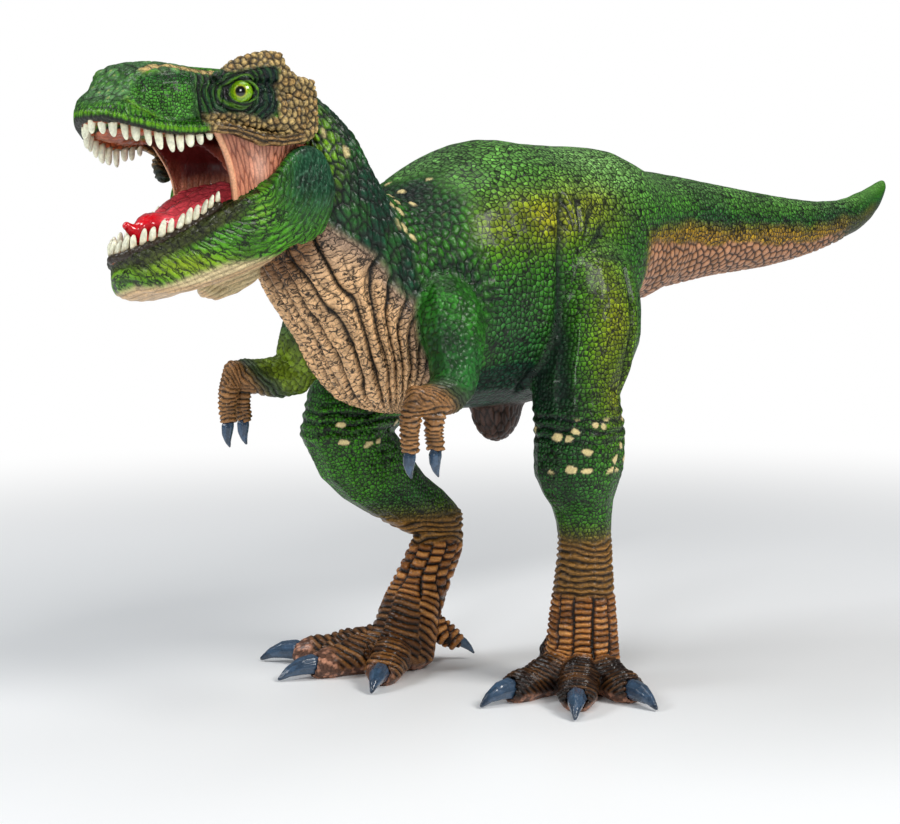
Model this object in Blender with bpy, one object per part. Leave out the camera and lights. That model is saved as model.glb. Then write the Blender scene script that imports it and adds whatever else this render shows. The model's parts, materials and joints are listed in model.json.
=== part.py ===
"""A toy tyrannosaur in its walking stance, with a lower jaw that turns on a pin.

The figure faces -Y, its left side is +X and it stands on the plane z = 0.
Every length is in metres. Tables hold shares of the named sizes of their piece.
"""
import math

import bmesh
import bpy
from mathutils import Vector

# Clearances and cuts
GAP = 0.0003
OVERRUN = 0.004

# Torso and neck, measured from the hips
HIP_HEIGHT = 0.092
TORSO_REACH = 0.093
TORSO_DEPTH = 0.060
TORSO_WIDTH = 0.050
BOOT_LENGTH = 0.014
BOOT_WIDTH = 0.011
BOOT_DEPTH = 0.020

# Tail, measured from its root
TAIL_LENGTH = 0.112
TAIL_DEPTH = 0.029
TAIL_WIDTH = 0.0275

# Head and jaw, measured from the hinge axis
AXIS_RISE = 0.021
HEAD_LENGTH = 0.0445
HEAD_DEPTH = 0.026
HEAD_WIDTH = 0.035
JAW_LENGTH = 0.0385
JAW_DEPTH = 0.020
JAW_WIDTH = 0.034
JAW_WALL = 0.0030
JAW_LOBE_RADIUS = 0.0109
LINING_WIDTH = 0.0244
LINING_DEPTH = 0.0112
GULLET_WIDTH = 0.0195
GULLET_LENGTH = 0.030
GULLET_DEPTH = 0.0205
PIN_RADIUS = 0.0012
PIN_BITE = 0.0019

# Teeth, tongue and eyes
UPPER_TEETH = 24
LOWER_TEETH = 22
TOOTH_LENGTH = 0.0042
TOOTH_RADIUS = 0.00095
GUM_RADIUS = 0.0011
UPPER_GUM_INSET = 0.0019
LOWER_GUM_INSET = 0.0026
TONGUE_LENGTH = 0.0205
TONGUE_WIDTH = 0.0105
TONGUE_DEPTH = 0.0062
EYE_RADIUS = 0.0025

# Legs, measured from the floor
STANCE_HALF = 0.025
STRIDE = 0.044
THIGH_WIDTH = 0.024
THIGH_DEPTH = 0.034
TOE_LENGTH = 0.0225
TOE_RADIUS = 0.0045
TOE_CLAW_LENGTH = 0.0095
TOE_CLAW_RADIUS = 0.0023
HALLUX_LENGTH = 0.0148
HALLUX_RADIUS = 0.0026

# Arms, measured from the shoulder
SHOULDER_SPREAD = 0.020
ARM_REACH = 0.020
ARM_DROP = 0.024
ARM_RADIUS = 0.0065
FINGER_LENGTH = 0.0102
FINGER_RADIUS = 0.0020
FINGER_CLAW_LENGTH = 0.0052
FINGER_CLAW_RADIUS = 0.0014


def clear_scene():
    for old in list(bpy.data.objects):
        bpy.data.objects.remove(old, do_unlink=True)


def finish(name, colour, roughness, metallic=0.0):
    """A plain plastic finish for one piece."""
    material = bpy.data.materials.new(name)
    material.use_nodes = True
    shader = material.node_tree.nodes["Principled BSDF"]
    shader.inputs["Base Color"].default_value = (*colour, 1.0)
    shader.inputs["Roughness"].default_value = roughness
    shader.inputs["Metallic"].default_value = metallic
    return material


def flow(stations, steps):
    """Rows between the stations, on a smooth curve that passes through each of them."""
    rows = []
    last = len(stations) - 1
    for index in range(last):
        before = stations[max(index - 1, 0)]
        here = stations[index]
        after = stations[index + 1]
        beyond = stations[min(index + 2, last)]
        for step in range(steps):
            t = step / steps
            rows.append([
                0.5 * (2 * b + (c - a) * t + (2 * a - 5 * b + 4 * c - d) * t * t
                       + (3 * b - 3 * c + d - a) * t ** 3)
                for a, b, c, d in zip(before, here, after, beyond)])
    rows.append(list(stations[last]))
    return rows


def as_object(name, mesh):
    """Put a finished mesh into the scene as one piece."""
    data = bpy.data.meshes.new(name)
    mesh.to_mesh(data)
    mesh.free()
    piece = bpy.data.objects.new(name, data)
    bpy.context.scene.collection.objects.link(piece)
    return piece


def skin(name, rings, poles):
    """One closed body through equal rings, closed at each end on a pole."""
    mesh = bmesh.new()
    rows = [[mesh.verts.new(point) for point in ring] for ring in rings]
    count = len(rows[0])
    for near, far in zip(rows, rows[1:]):
        for side in range(count):
            after = (side + 1) % count
            mesh.faces.new((near[side], near[after], far[after], far[side]))
    for row, pole in zip((rows[0], rows[-1]), poles):
        tip = mesh.verts.new(pole)
        for side in range(count):
            mesh.faces.new((row[side], row[(side + 1) % count], tip))
    bmesh.ops.recalc_face_normals(mesh, faces=mesh.faces)
    return as_object(name, mesh)


def oval(centre, side, lift, sides, power):
    """A closed ring; a power above 2 squares its corners."""
    ring = []
    for index in range(sides):
        turn = math.tau * index / sides
        across = math.copysign(abs(math.cos(turn)) ** (2 / power), math.cos(turn))
        up = math.copysign(abs(math.sin(turn)) ** (2 / power), math.sin(turn))
        ring.append(centre + side * across + lift * up)
    return ring


def domed(name, frames, sides, power, dome_share, cap_angles=(60, 30)):
    """A skin through frames (centre, side, lift), with each end rounded over."""
    ends = []
    poles = []
    for end, inner in ((0, 1), (-1, -2)):
        centre, side, lift = frames[end]
        outward = (centre - frames[inner][0]).normalized()
        height = min(side.length, lift.length) * dome_share
        caps = []
        for angle in map(math.radians, cap_angles):
            caps.append(oval(centre + outward * height * math.sin(angle),
                             side * math.cos(angle), lift * math.cos(angle), sides, power))
        poles.append(centre + outward * height)
        ends.append(caps)
    middle = [oval(*frame, sides, power) for frame in frames]
    return skin(name, ends[0] + middle + ends[1][::-1], poles)


def profile_loft(name, stations, sides, steps, power=2.2, dome_share=0.6, grow=0.0):
    """A body between a top line and a bottom line in side view.

    Each station holds top y, top z, bottom y, bottom z and half width.
    """
    frames = []
    for top_y, top_z, low_y, low_z, half in flow(stations, steps):
        top = Vector((0, top_y, top_z))
        low = Vector((0, low_y, low_z))
        lift = (top - low) / 2
        lift += lift.normalized() * grow
        frames.append(((top + low) / 2, Vector((half + grow, 0, 0)), lift))
    if grow:
        frames = lengthened(frames, grow)
    return domed(name, frames, sides, power, dome_share)


def limb_loft(name, stations, hint, sides, steps, power=2.0, dome_share=0.8, grow=0.0,
              cap_angles=(60, 30)):
    """A body along a path; each station holds x, y, z, half width and half thickness."""
    rows = flow(stations, steps)
    frames = []
    for index, row in enumerate(rows):
        centre = Vector(row[:3])
        ahead = Vector(rows[min(index + 1, len(rows) - 1)][:3])
        behind = Vector(rows[max(index - 1, 0)][:3])
        run = (ahead - behind).normalized()
        side = (hint - run * hint.dot(run)).normalized()
        lift = run.cross(side)
        frames.append((centre, side * (row[3] + grow), lift * (row[4] + grow)))
    if grow:
        frames = lengthened(frames, grow)
    return domed(name, frames, sides, power, dome_share, cap_angles)


def lengthened(frames, grow):
    """The same frames with both ends moved outwards."""
    result = list(frames)
    for end, inner in ((0, 1), (-1, -2)):
        centre, side, lift = frames[end]
        outward = (centre - frames[inner][0]).normalized()
        result[end] = (centre + outward * grow, side, lift)
    return result


def combine(piece, other, operation):
    """Join another body to the piece, or cut it out of the piece."""
    tool = piece.modifiers.new(operation.lower(), "BOOLEAN")
    tool.operation = operation
    tool.object = other
    tool.solver = "EXACT"
    graph = bpy.context.evaluated_depsgraph_get()
    data = bpy.data.meshes.new_from_object(piece.evaluated_get(graph))
    piece.modifiers.clear()
    old = piece.data
    piece.data = data
    bpy.data.meshes.remove(old)
    bpy.data.objects.remove(other, do_unlink=True)


def joined(piece, others):
    for other in others:
        combine(piece, other, "UNION")
    return piece


def without(piece, others):
    for other in others:
        combine(piece, other, "DIFFERENCE")
    return piece


def block(name, low, high):
    """A box between two corners."""
    mesh = bmesh.new()
    bmesh.ops.create_cube(mesh, size=1)
    for vert in mesh.verts:
        vert.co = Vector([low[i] + (vert.co[i] + 0.5) * (high[i] - low[i]) for i in range(3)])
    return as_object(name, mesh)


def ball(name, centre, radii, segments=12, rings=8):
    """An ellipsoid."""
    mesh = bmesh.new()
    bmesh.ops.create_uvsphere(mesh, u_segments=segments, v_segments=rings, radius=1)
    for vert in mesh.verts:
        vert.co = Vector([centre[i] + vert.co[i] * radii[i] for i in range(3)])
    return as_object(name, mesh)


def rod(name, axis_point, low_x, high_x, radius, sides=20):
    """A round bar along X."""
    def ring(x):
        return [axis_point + Vector((x, radius * math.cos(math.tau * i / sides),
                                     radius * math.sin(math.tau * i / sides)))
                for i in range(sides)]
    poles = (axis_point + Vector((low_x, 0, 0)), axis_point + Vector((high_x, 0, 0)))
    return skin(name, [ring(low_x), ring(high_x)], poles)


def side_rods(name, inner, outer, radius, sides=20):
    """A round bar on the jaw's axis on each side of the head."""
    return [rod(name, AXIS, min(hand * inner, hand * outer), max(hand * inner, hand * outer),
                radius, sides) for hand in (1, -1)]


# Torso: shares of reach, depth, reach, depth and width, from the neck to the tail root
TORSO_SHARES = (
    (-0.890, 0.700, -0.960, 0.110, 0.240),
    (-0.790, 0.595, -0.890, -0.067, 0.290),
    (-0.700, 0.385, -0.785, -0.250, 0.305),
    (-0.595, 0.325, -0.690, -0.417, 0.370),
    (-0.460, 0.435, -0.538, -0.460, 0.440),
    (-0.290, 0.525, -0.300, -0.480, 0.490),
    (-0.130, 0.510, -0.130, -0.480, 0.485),
    (0.020, 0.500, 0.030, -0.450, 0.455),
    (0.150, 0.490, 0.150, -0.145, 0.395),
    (0.300, 0.415, 0.300, -0.120, 0.310),
    (0.430, 0.375, 0.430, -0.060, 0.245),
)
BOOT_SHARES = (-0.205, -0.46)


def at_torso(along_share, up_share):
    return along_share * TORSO_REACH, HIP_HEIGHT + up_share * TORSO_DEPTH


def torso_body():
    stations = []
    for back_y, back_z, belly_y, belly_z, half in TORSO_SHARES:
        stations.append((*at_torso(back_y, back_z), *at_torso(belly_y, belly_z),
                         half * TORSO_WIDTH))
    body = profile_loft("torso", stations, 20, 2)
    boot_y, boot_z = at_torso(*BOOT_SHARES)
    boot = ball("boot", (0, boot_y, boot_z), (BOOT_WIDTH / 2, BOOT_LENGTH / 2, BOOT_DEPTH / 2))
    return joined(body, [boot])


# Tail: shares of length, depth, length, depth and width, from its root to its tip
TAIL_SHARES = (
    (-0.09, 0.540, -0.09, -0.485, 0.44),
    (0.04, 0.510, 0.04, -0.480, 0.43),
    (0.25, 0.405, 0.24, -0.400, 0.37),
    (0.48, 0.290, 0.46, -0.355, 0.28),
    (0.70, 0.210, 0.68, -0.245, 0.19),
    (0.86, 0.240, 0.85, -0.080, 0.12),
    (0.95, 0.330, 0.95, 0.130, 0.07),
    (0.99, 0.390, 0.99, 0.310, 0.03),
)
TAIL_ROOT_SHARES = (0.360, 0.150)


def tail_body(grow=0.0):
    root_y, root_z = at_torso(*TAIL_ROOT_SHARES)
    stations = []
    for top_y, top_z, low_y, low_z, half in TAIL_SHARES:
        stations.append((root_y + top_y * TAIL_LENGTH, root_z + top_z * TAIL_DEPTH,
                         root_y + low_y * TAIL_LENGTH, root_z + low_z * TAIL_DEPTH,
                         half * TAIL_WIDTH))
    return profile_loft("tail", stations, 15, 2, 2.1, 0.6, grow)


# Hinge axis of the jaw
AXIS = Vector((0, -TORSO_REACH, HIP_HEIGHT + AXIS_RISE))

# Skull: shares of head length, depth, length, depth and width, from the snout back
SKULL_SHARES = (
    (-0.990, 0.65, -0.990, 0.58, 0.12),
    (-0.950, 0.755, -0.955, 0.535, 0.200),
    (-0.850, 0.915, -0.860, 0.480, 0.280),
    (-0.700, 0.985, -0.710, 0.450, 0.335),
    (-0.520, 0.955, -0.530, 0.450, 0.365),
    (-0.360, 0.945, -0.370, 0.430, 0.425),
    (-0.200, 0.910, -0.210, 0.385, 0.480),
    (-0.080, 0.830, -0.080, 0.370, 0.490),
    (0.010, 0.770, 0.020, 0.390, 0.440),
    (0.055, 0.710, 0.060, 0.450, 0.350),
)
BROW_SHARES = (
    (0.365, -0.50, 0.86, 0.050, 0.06),
    (0.395, -0.37, 0.90, 0.075, 0.085),
    (0.400, -0.24, 0.93, 0.090, 0.11),
    (0.420, -0.12, 0.80, 0.080, 0.09),
    (0.425, -0.02, 0.69, 0.060, 0.07),
)
EYE_SHARES = (0.425, -0.405, 0.76)
NOSTRIL_SHARES = (0.235, -0.905, 0.77)
NOSTRIL_SIZE_SHARES = (0.05, 0.035, 0.035)
WINDOW_SHARES = (0.365, -0.60, 0.71)
WINDOW_SIZE_SHARES = (0.03, 0.13, 0.15)
PALATE_SHARES = (0, -0.45, 0.41)
PALATE_SIZE_SHARES = (0.24, 0.42, 0.12)


def at_head(along_share, up_share):
    return AXIS.y + along_share * HEAD_LENGTH, AXIS.z + up_share * HEAD_DEPTH


def on_head(shares, hand):
    across, along, up = shares
    y, z = at_head(along, up)
    return Vector((hand * across * HEAD_WIDTH, y, z))


def head_hollow(name, shares, size_shares, hand, segments=12, rings=8):
    """A rounded hollow to cut from the head."""
    sizes = (HEAD_WIDTH, HEAD_LENGTH, HEAD_DEPTH)
    radii = [share * size for share, size in zip(size_shares, sizes)]
    return ball(name, on_head(shares, hand), radii, segments, rings)


def skull_shell(grow=0.0):
    stations = [(*at_head(a, b), *at_head(c, d), e * HEAD_WIDTH)
                for a, b, c, d, e in SKULL_SHARES]
    return profile_loft("skull", stations, 22, 2, 3.0, 0.5, grow)


def brow(hand, grow=0.0):
    stations = []
    for across, along, up, half, thick in BROW_SHARES:
        y, z = at_head(along, up)
        stations.append((hand * across * HEAD_WIDTH, y, z,
                         half * HEAD_WIDTH, thick * HEAD_DEPTH))
    return limb_loft("brow", stations, Vector((1, 0, 0)), 10, 2, 2.0, 0.8, grow, (45,))


def build_skull():
    skull = joined(skull_shell(), [brow(1), brow(-1)])
    cuts = []
    for hand in (1, -1):
        cuts.append(ball("socket", on_head(EYE_SHARES, hand), [EYE_RADIUS + GAP] * 3))
        cuts.append(head_hollow("nostril", NOSTRIL_SHARES, NOSTRIL_SIZE_SHARES, hand, 8, 6))
        cuts.append(head_hollow("window", WINDOW_SHARES, WINDOW_SIZE_SHARES, hand, 10, 6))
    cuts.append(head_hollow("palate", PALATE_SHARES, PALATE_SIZE_SHARES, 1))
    cuts.extend(hinge_sweeps())
    cuts.append(gum_rail("upper", grow=GAP))
    return without(skull, cuts)


# Lower jaw: shares of jaw length, depth, length, depth and width, from the chin back
JAW_SHARES = (
    (-0.950, -0.64, -0.940, -0.84, 0.12),
    (-0.915, -0.54, -0.900, -0.94, 0.19),
    (-0.815, -0.375, -0.785, -0.99, 0.26),
    (-0.659, -0.15, -0.640, -0.985, 0.325),
    (-0.463, 0.05, -0.440, -0.91, 0.395),
    (-0.268, 0.27, -0.250, -0.80, 0.455),
    (-0.110, 0.48, -0.080, -0.68, 0.490),
    (0.040, 0.53, 0.060, -0.52, 0.500),
    (0.150, 0.32, 0.165, -0.26, 0.495),
)


TROUGH_FLOOR_SHARES = (0.30, 0.32, 0.33, 0.30, 0.18, -0.22, -0.45, -0.60)
TROUGH_BACK_SHARE = 0.5


def at_jaw(along_share, up_share):
    return AXIS.y + along_share * JAW_LENGTH, AXIS.z + up_share * JAW_DEPTH


def jaw_shell(grow=0.0):
    stations = [(*at_jaw(a, b), *at_jaw(c, d), e * JAW_WIDTH) for a, b, c, d, e in JAW_SHARES]
    return profile_loft("lower_jaw", stations, 18, 2, 2.8, 0.3, grow)


def jaw_trough():
    """The space between the two branches of the jaw, open above and behind."""
    stations = []
    for shares, rise_share in zip(JAW_SHARES[1:], TROUGH_FLOOR_SHARES):
        top_y, top_z, low_y, low_z, half = shares
        y, floor = at_jaw(low_y, low_z + rise_share)
        stations.append((y, AXIS.z + JAW_DEPTH, y, floor, half * JAW_WIDTH - JAW_WALL))
    back = AXIS.y + JAW_LENGTH * TROUGH_BACK_SHARE
    low_z = stations[-1][3] - JAW_DEPTH
    half = JAW_SHARES[-1][4] * JAW_WIDTH - JAW_WALL
    stations.append((back, AXIS.z + JAW_DEPTH, back, low_z, half))
    return profile_loft("trough", stations, 16, 2, 4.2, 0.3)


def hinge_sweeps():
    """Round clearances beside the throat in which the rear ends of the jaw turn."""
    return side_rods("sweep", LINING_WIDTH / 2 + GAP, JAW_WIDTH / 2 + OVERRUN,
                     JAW_LOBE_RADIUS + GAP)


# Throat lining: shares of jaw length and lining depth, and of half its width
LINING_SHARES = (
    (-0.660, 1.08, -0.640, 0.86, 0.53),
    (-0.590, 1.08, -0.545, 0.30, 0.60),
    (-0.450, 1.08, -0.400, -0.25, 0.73),
    (-0.260, 1.05, -0.200, -0.70, 0.90),
    (-0.080, 1.02, -0.070, -0.90, 1.00),
    (0.060, 1.00, 0.060, -0.93, 1.00),
    (0.170, 1.00, 0.170, -0.90, 0.98),
)
GULLET_SHARES = (-0.56, 0.18)


def lining_body(grow=0.0):
    stations = []
    for top_y, top_z, low_y, low_z, half in LINING_SHARES:
        stations.append((AXIS.y + top_y * JAW_LENGTH, AXIS.z + top_z * LINING_DEPTH,
                         AXIS.y + low_y * JAW_LENGTH, AXIS.z + low_z * LINING_DEPTH,
                         half * LINING_WIDTH / 2))
    return profile_loft("throat_lining", stations, 14, 2, 3.0, 0.15, grow)


def build_lining():
    lining = lining_body()
    gullet = ball("gullet", (0, AXIS.y + GULLET_SHARES[0] * JAW_LENGTH,
                             AXIS.z + GULLET_SHARES[1] * LINING_DEPTH),
                  (GULLET_WIDTH / 2, GULLET_LENGTH / 2, GULLET_DEPTH / 2))
    half = LINING_WIDTH / 2 + OVERRUN
    bore = rod("bore", AXIS, -half, half, PIN_RADIUS + GAP, 16)
    return without(lining, [skull_shell(GAP), gullet, bore])


# Gums and teeth: where each arch ends and how far forward of its first station it starts
UPPER_ARCH_END_SHARE = 0.50
LOWER_ARCH_END_SHARE = 0.42
UPPER_FRONT_SHARE = 0.3
LOWER_FRONT_SHARE = 0.5
RAIL_STEPS = 19


def arch_points(which, count):
    """Points at even steps along a gum line, from the left rear round the front."""
    if which == "upper":
        half_arch = [(e * HEAD_WIDTH - UPPER_GUM_INSET, *at_head(c, d))
                     for a, b, c, d, e in SKULL_SHARES[1:6]]
        front = half_arch[0][1] + UPPER_GUM_INSET * UPPER_FRONT_SHARE
        end = AXIS.y - UPPER_ARCH_END_SHARE * HEAD_LENGTH
    else:
        half_arch = [(e * JAW_WIDTH - LOWER_GUM_INSET, *at_jaw(a, b))
                     for a, b, c, d, e in JAW_SHARES[1:6]]
        front = half_arch[0][1] + LOWER_GUM_INSET * LOWER_FRONT_SHARE
        end = AXIS.y - LOWER_ARCH_END_SHARE * JAW_LENGTH
    middle = (0, front, half_arch[0][2])
    half_arch = half_arch[1:]
    whole = half_arch[::-1] + [middle] + [(-x, y, z) for x, y, z in half_arch]
    path = [Vector(row) for row in flow(whole, 8) if row[1] < end]
    lengths = [0.0]
    for near, far in zip(path, path[1:]):
        lengths.append(lengths[-1] + (far - near).length)
    points = []
    for index in range(count):
        goal = lengths[-1] * index / (count - 1)
        place = max(i for i in range(len(path) - 1) if lengths[i] <= goal)
        share = (goal - lengths[place]) / (lengths[place + 1] - lengths[place])
        points.append(path[place].lerp(path[place + 1], share))
    return points


def gum_rail(which, grow=0.0):
    points = arch_points(which, RAIL_STEPS)
    stations = [(p.x, p.y, p.z, GUM_RADIUS, GUM_RADIUS) for p in points]
    return limb_loft("rail", stations, Vector((0, 0, 1)), 6, 1, 2.0, 0.8, grow, ())


TOOTH_SHARES = ((-0.12, 0.98), (0.40, 0.95), (0.88, 0.36))
TOOTH_LEAN_SHARE = 0.18
TOOTH_PLAIN_SHARE = 0.80
TOOTH_RIPPLE_SHARE = 0.28
TOOTH_REAR_SHARE = 0.45


def tooth(root, direction, length, radius):
    """A curved pointed tooth of five sides; it leans back towards the throat."""
    lean = Vector((0, TOOTH_LEAN_SHARE * length, 0))
    stations = []
    for share, wide in TOOTH_SHARES:
        centre = root + direction * length * share + lean * share * share
        stations.append((centre.x, centre.y, centre.z, radius * wide, radius * wide))
    return limb_loft("tooth", stations, Vector((0, 1, 0)), 5, 1, 2.0, 0.8, 0.0, ())


def build_teeth(which):
    count = UPPER_TEETH if which == "upper" else LOWER_TEETH
    heading = Vector((0, 0, -1 if which == "upper" else 1))
    strip = gum_rail(which)
    strip.name = which + "_teeth"
    points = arch_points(which, 2 * count + 1)[1::2]
    for index, root in enumerate(points):
        middle = abs(index - (count - 1) / 2) / count
        ripple = math.sin(2.4 * index) ** 2
        share = TOOTH_PLAIN_SHARE + TOOTH_RIPPLE_SHARE * ripple - TOOTH_REAR_SHARE * middle ** 2
        wide_share = 0.92 + 0.1 * math.sin(1.7 * index)
        one = tooth(root, heading, TOOTH_LENGTH * share, TOOTH_RADIUS * wide_share)
        combine(strip, one, "UNION")
    return strip


def build_jaw():
    jaw = without(jaw_shell(), [jaw_trough()])
    inner = JAW_SHARES[-1][4] * JAW_WIDTH - JAW_WALL - OVERRUN
    outer = LINING_WIDTH / 2 + GAP + PIN_BITE
    sockets = side_rods("socket", inner, outer, PIN_RADIUS + GAP, 16)
    return without(jaw, sockets + [gum_rail("lower", grow=GAP)])


TONGUE_SHARES = (
    (-0.01, 0.42, 0.20, 0.26),
    (0.10, 0.44, 0.36, 0.36),
    (0.32, 0.12, 0.46, 0.46),
    (0.62, 0.10, 0.50, 0.50),
    (0.86, 0.16, 0.44, 0.42),
    (0.99, 0.22, 0.24, 0.26),
)
TONGUE_START_SHARES = (-0.785, -0.45)
TONGUE_END_SHARES = (-0.28, -0.16)


def build_tongue():
    """The tongue lies in the trough; its tip curls up behind the front teeth."""
    start_y, start_z = at_jaw(*TONGUE_START_SHARES)
    end_y, end_z = at_jaw(*TONGUE_END_SHARES)
    run = Vector((0, end_y - start_y, end_z - start_z)).normalized()
    rise = Vector((0, -run.z, run.y))
    stations = []
    for along, up, half, thick in TONGUE_SHARES:
        point = Vector((0, start_y, start_z)) + run * along * TONGUE_LENGTH + rise * up * TONGUE_DEPTH
        stations.append((point.x, point.y, point.z, half * TONGUE_WIDTH, thick * TONGUE_DEPTH))
    return limb_loft("tongue", stations, Vector((1, 0, 0)), 10, 2, 2.2, 0.8)


# Legs: shares of stance, stride, hip height, thigh width and thigh depth, from the hip down
LEFT_LEG_SHARES = (
    (0.56, -0.18, 1.080, 0.30, 0.34),
    (0.76, -0.23, 1.000, 0.43, 0.395),
    (0.88, -0.30, 0.880, 0.47, 0.385),
    (0.95, -0.44, 0.740, 0.38, 0.295),
    (1.00, -0.435, 0.640, 0.395, 0.300),
    (1.02, -0.455, 0.545, 0.385, 0.305),
    (1.00, -0.41, 0.465, 0.275, 0.21),
    (0.98, -0.375, 0.370, 0.230, 0.175),
    (0.95, -0.36, 0.260, 0.270, 0.185),
    (0.94, -0.36, 0.140, 0.320, 0.210),
    (0.94, -0.37, 0.030, 0.370, 0.235),
)
RIGHT_LEG_SHARES = (
    (-0.60, -0.09, 1.020, 0.34, 0.40),
    (-0.80, -0.23, 0.955, 0.46, 0.49),
    (-0.92, -0.52, 0.830, 0.48, 0.44),
    (-0.98, -0.84, 0.720, 0.44, 0.35),
    (-1.00, -1.00, 0.620, 0.40, 0.29),
    (-0.96, -0.82, 0.520, 0.355, 0.28),
    (-0.90, -0.59, 0.430, 0.275, 0.205),
    (-0.82, -0.37, 0.355, 0.230, 0.180),
    (-0.80, -0.45, 0.260, 0.240, 0.165),
    (-0.80, -0.60, 0.150, 0.275, 0.190),
    (-0.81, -0.69, 0.035, 0.330, 0.220),
)
# Toes of each foot: heading in degrees from straight ahead towards its own side, length share
LEFT_TOE_SHARES = ((-4, 1.0), (37, 1.08), (74, 0.86))
RIGHT_TOE_SHARES = ((-31, 0.86), (18, 0.98), (58, 1.08))
LEFT_HALLUX_HEADING = -110
RIGHT_HALLUX_HEADING = -158


def leg_loft(name, shares, grow=0.0):
    stations = [(a * STANCE_HALF, b * STRIDE, c * HIP_HEIGHT, d * THIGH_WIDTH, e * THIGH_DEPTH)
                for a, b, c, d, e in shares]
    return limb_loft(name, stations, Vector((1, 0, 0)), 13, 2, 2.1, 0.5, grow, (45,))


def foot_centre(shares):
    across, along = shares[-1][:2]
    return Vector((across * STANCE_HALF, along * STRIDE, 0))


def toe_run(heading, hand):
    angle = math.radians(heading)
    return Vector((hand * math.sin(angle), -math.cos(angle), 0))


TOE_SHARES = (
    (0.10, 1.15, 1.00, 1.30),
    (0.36, 0.95, 0.92, 1.00),
    (0.52, 0.86, 1.02, 1.00),
    (0.70, 0.70, 0.84, 0.78),
    (0.86, 0.64, 0.94, 0.80),
    (1.00, 0.56, 0.74, 0.62),
)
HALLUX_SHARES = (
    (0.02, 6.30, 1.00, 1.10),
    (0.25, 5.50, 1.00, 1.05),
    (0.52, 4.10, 0.86, 0.90),
    (0.80, 2.65, 0.98, 0.98),
    (1.00, 1.90, 0.80, 0.78),
)


# Claws: shares of length along and across, and of radius
CLAW_SHARES = (
    (-0.22, -0.02, 0.72),
    (0.10, 0.04, 1.0),
    (0.42, 0.02, 0.86),
    (0.74, -0.08, 0.52),
    (1.0, -0.235, 0.18),
)
CLAW_DEPTH_SHARE = 1.1
CLAW_RISE_SHARE = 0.06
HALLUX_FALL_SHARE = 0.5


def toe(place, root, run, length, radius):
    """A toe with two knuckles, flat under its pads once the sole is cut."""
    shares = HALLUX_SHARES if place == "hallux" else TOE_SHARES
    stations = []
    for along, up, half, thick in shares:
        point = root + run * along * length
        stations.append((point.x, point.y, radius * up, half * radius, thick * radius))
    hint = run.cross(Vector((0, 0, 1)))
    return limb_loft("toe", stations, hint, 9, 1, 2.0, 0.6, 0.0, (45,))


def claw(name, root, run, drop, length, radius, grow=0.0):
    """A claw that rises from its toe and bends down to a blunt point."""
    stations = []
    for share, rise, wide in CLAW_SHARES:
        point = root + run * share * length - drop * rise * length
        half = wide * radius
        stations.append((point.x, point.y, point.z, half, half * CLAW_DEPTH_SHARE))
    hint = run.cross(drop)
    return limb_loft(name, stations, hint, 7, 1, 2.0, 0.8, grow, ())


def toe_table(side):
    """Name, root, run, length and radius of each toe of a foot."""
    hand = 1 if side == "left" else -1
    shares = LEFT_LEG_SHARES if side == "left" else RIGHT_LEG_SHARES
    toes = LEFT_TOE_SHARES if side == "left" else RIGHT_TOE_SHARES
    hallux = LEFT_HALLUX_HEADING if side == "left" else RIGHT_HALLUX_HEADING
    centre = foot_centre(shares)
    names = ("inner", "middle", "outer")
    rows = [(names[i], centre, toe_run(heading, hand), TOE_LENGTH * share, TOE_RADIUS)
            for i, (heading, share) in enumerate(toes)]
    rows.append(("hallux", centre, toe_run(hallux, hand), HALLUX_LENGTH, HALLUX_RADIUS))
    return rows


def toe_claw(side, row, grow=0.0):
    place, root, run, length, radius = row
    size_share = radius / TOE_RADIUS
    last = HALLUX_SHARES[-1] if place == "hallux" else TOE_SHARES[-1]
    tip = root + run * length + Vector((0, 0, radius * (last[1] + CLAW_RISE_SHARE)))
    if place == "hallux":
        run = (run - Vector((0, 0, HALLUX_FALL_SHARE))).normalized()
    return claw(side + "_" + place + "_claw", tip, run, Vector((0, 0, -1)),
                TOE_CLAW_LENGTH * size_share, TOE_CLAW_RADIUS * size_share, grow)


def build_leg(side):
    shares = LEFT_LEG_SHARES if side == "left" else RIGHT_LEG_SHARES
    leg = leg_loft(side + "_leg", shares)
    rows = toe_table(side)
    joined(leg, [toe(*row) for row in rows])
    reach = STANCE_HALF + STRIDE + TOE_LENGTH * 2
    floor = block("floor", (-reach, -reach, -HIP_HEIGHT), (reach, reach, 0))
    cuts = [floor, arm_loft(side, GAP)] + [toe_claw(side, row, GAP) for row in rows]
    return without(leg, cuts)


# Arms: shares of arm reach outwards, arm reach forwards, arm drop and arm radius twice
LEFT_ARM_SHARES = (
    (-0.25, 0.02, 0.10, 0.90, 1.15),
    (0.02, -0.12, -0.05, 1.00, 1.25),
    (0.18, -0.24, -0.38, 0.80, 0.96),
    (0.27, -0.38, -0.62, 0.68, 0.78),
    (0.33, -0.62, -0.70, 0.54, 0.58),
    (0.36, -0.86, -0.72, 0.50, 0.52),
)
RIGHT_ARM_SHARES = (
    (-0.25, 0.05, 0.08, 0.90, 1.15),
    (0.02, -0.06, -0.10, 1.00, 1.25),
    (0.20, -0.14, -0.42, 0.84, 1.00),
    (0.30, -0.24, -0.66, 0.72, 0.82),
    (0.38, -0.58, -0.68, 0.60, 0.62),
    (0.42, -0.92, -0.64, 0.54, 0.52),
)
SHOULDER_SHARES = (-0.585, -0.08)

# Fingers: shares of arm reach between the two, and of finger length and radius along each
FINGER_SPREAD_SHARES = (0.04, 0.13)
FINGER_SPLAY_SHARE = 0.04
FINGER_FORWARD_SHARE = 0.12
FINGER_SHARES = ((-0.15, 0.0, 1.1), (0.30, 0.10, 1.05), (0.62, 0.10, 0.88), (1.0, 0.0, 0.85))
FINGER_CLAW_ROOT_SHARE = 1.05


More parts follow.
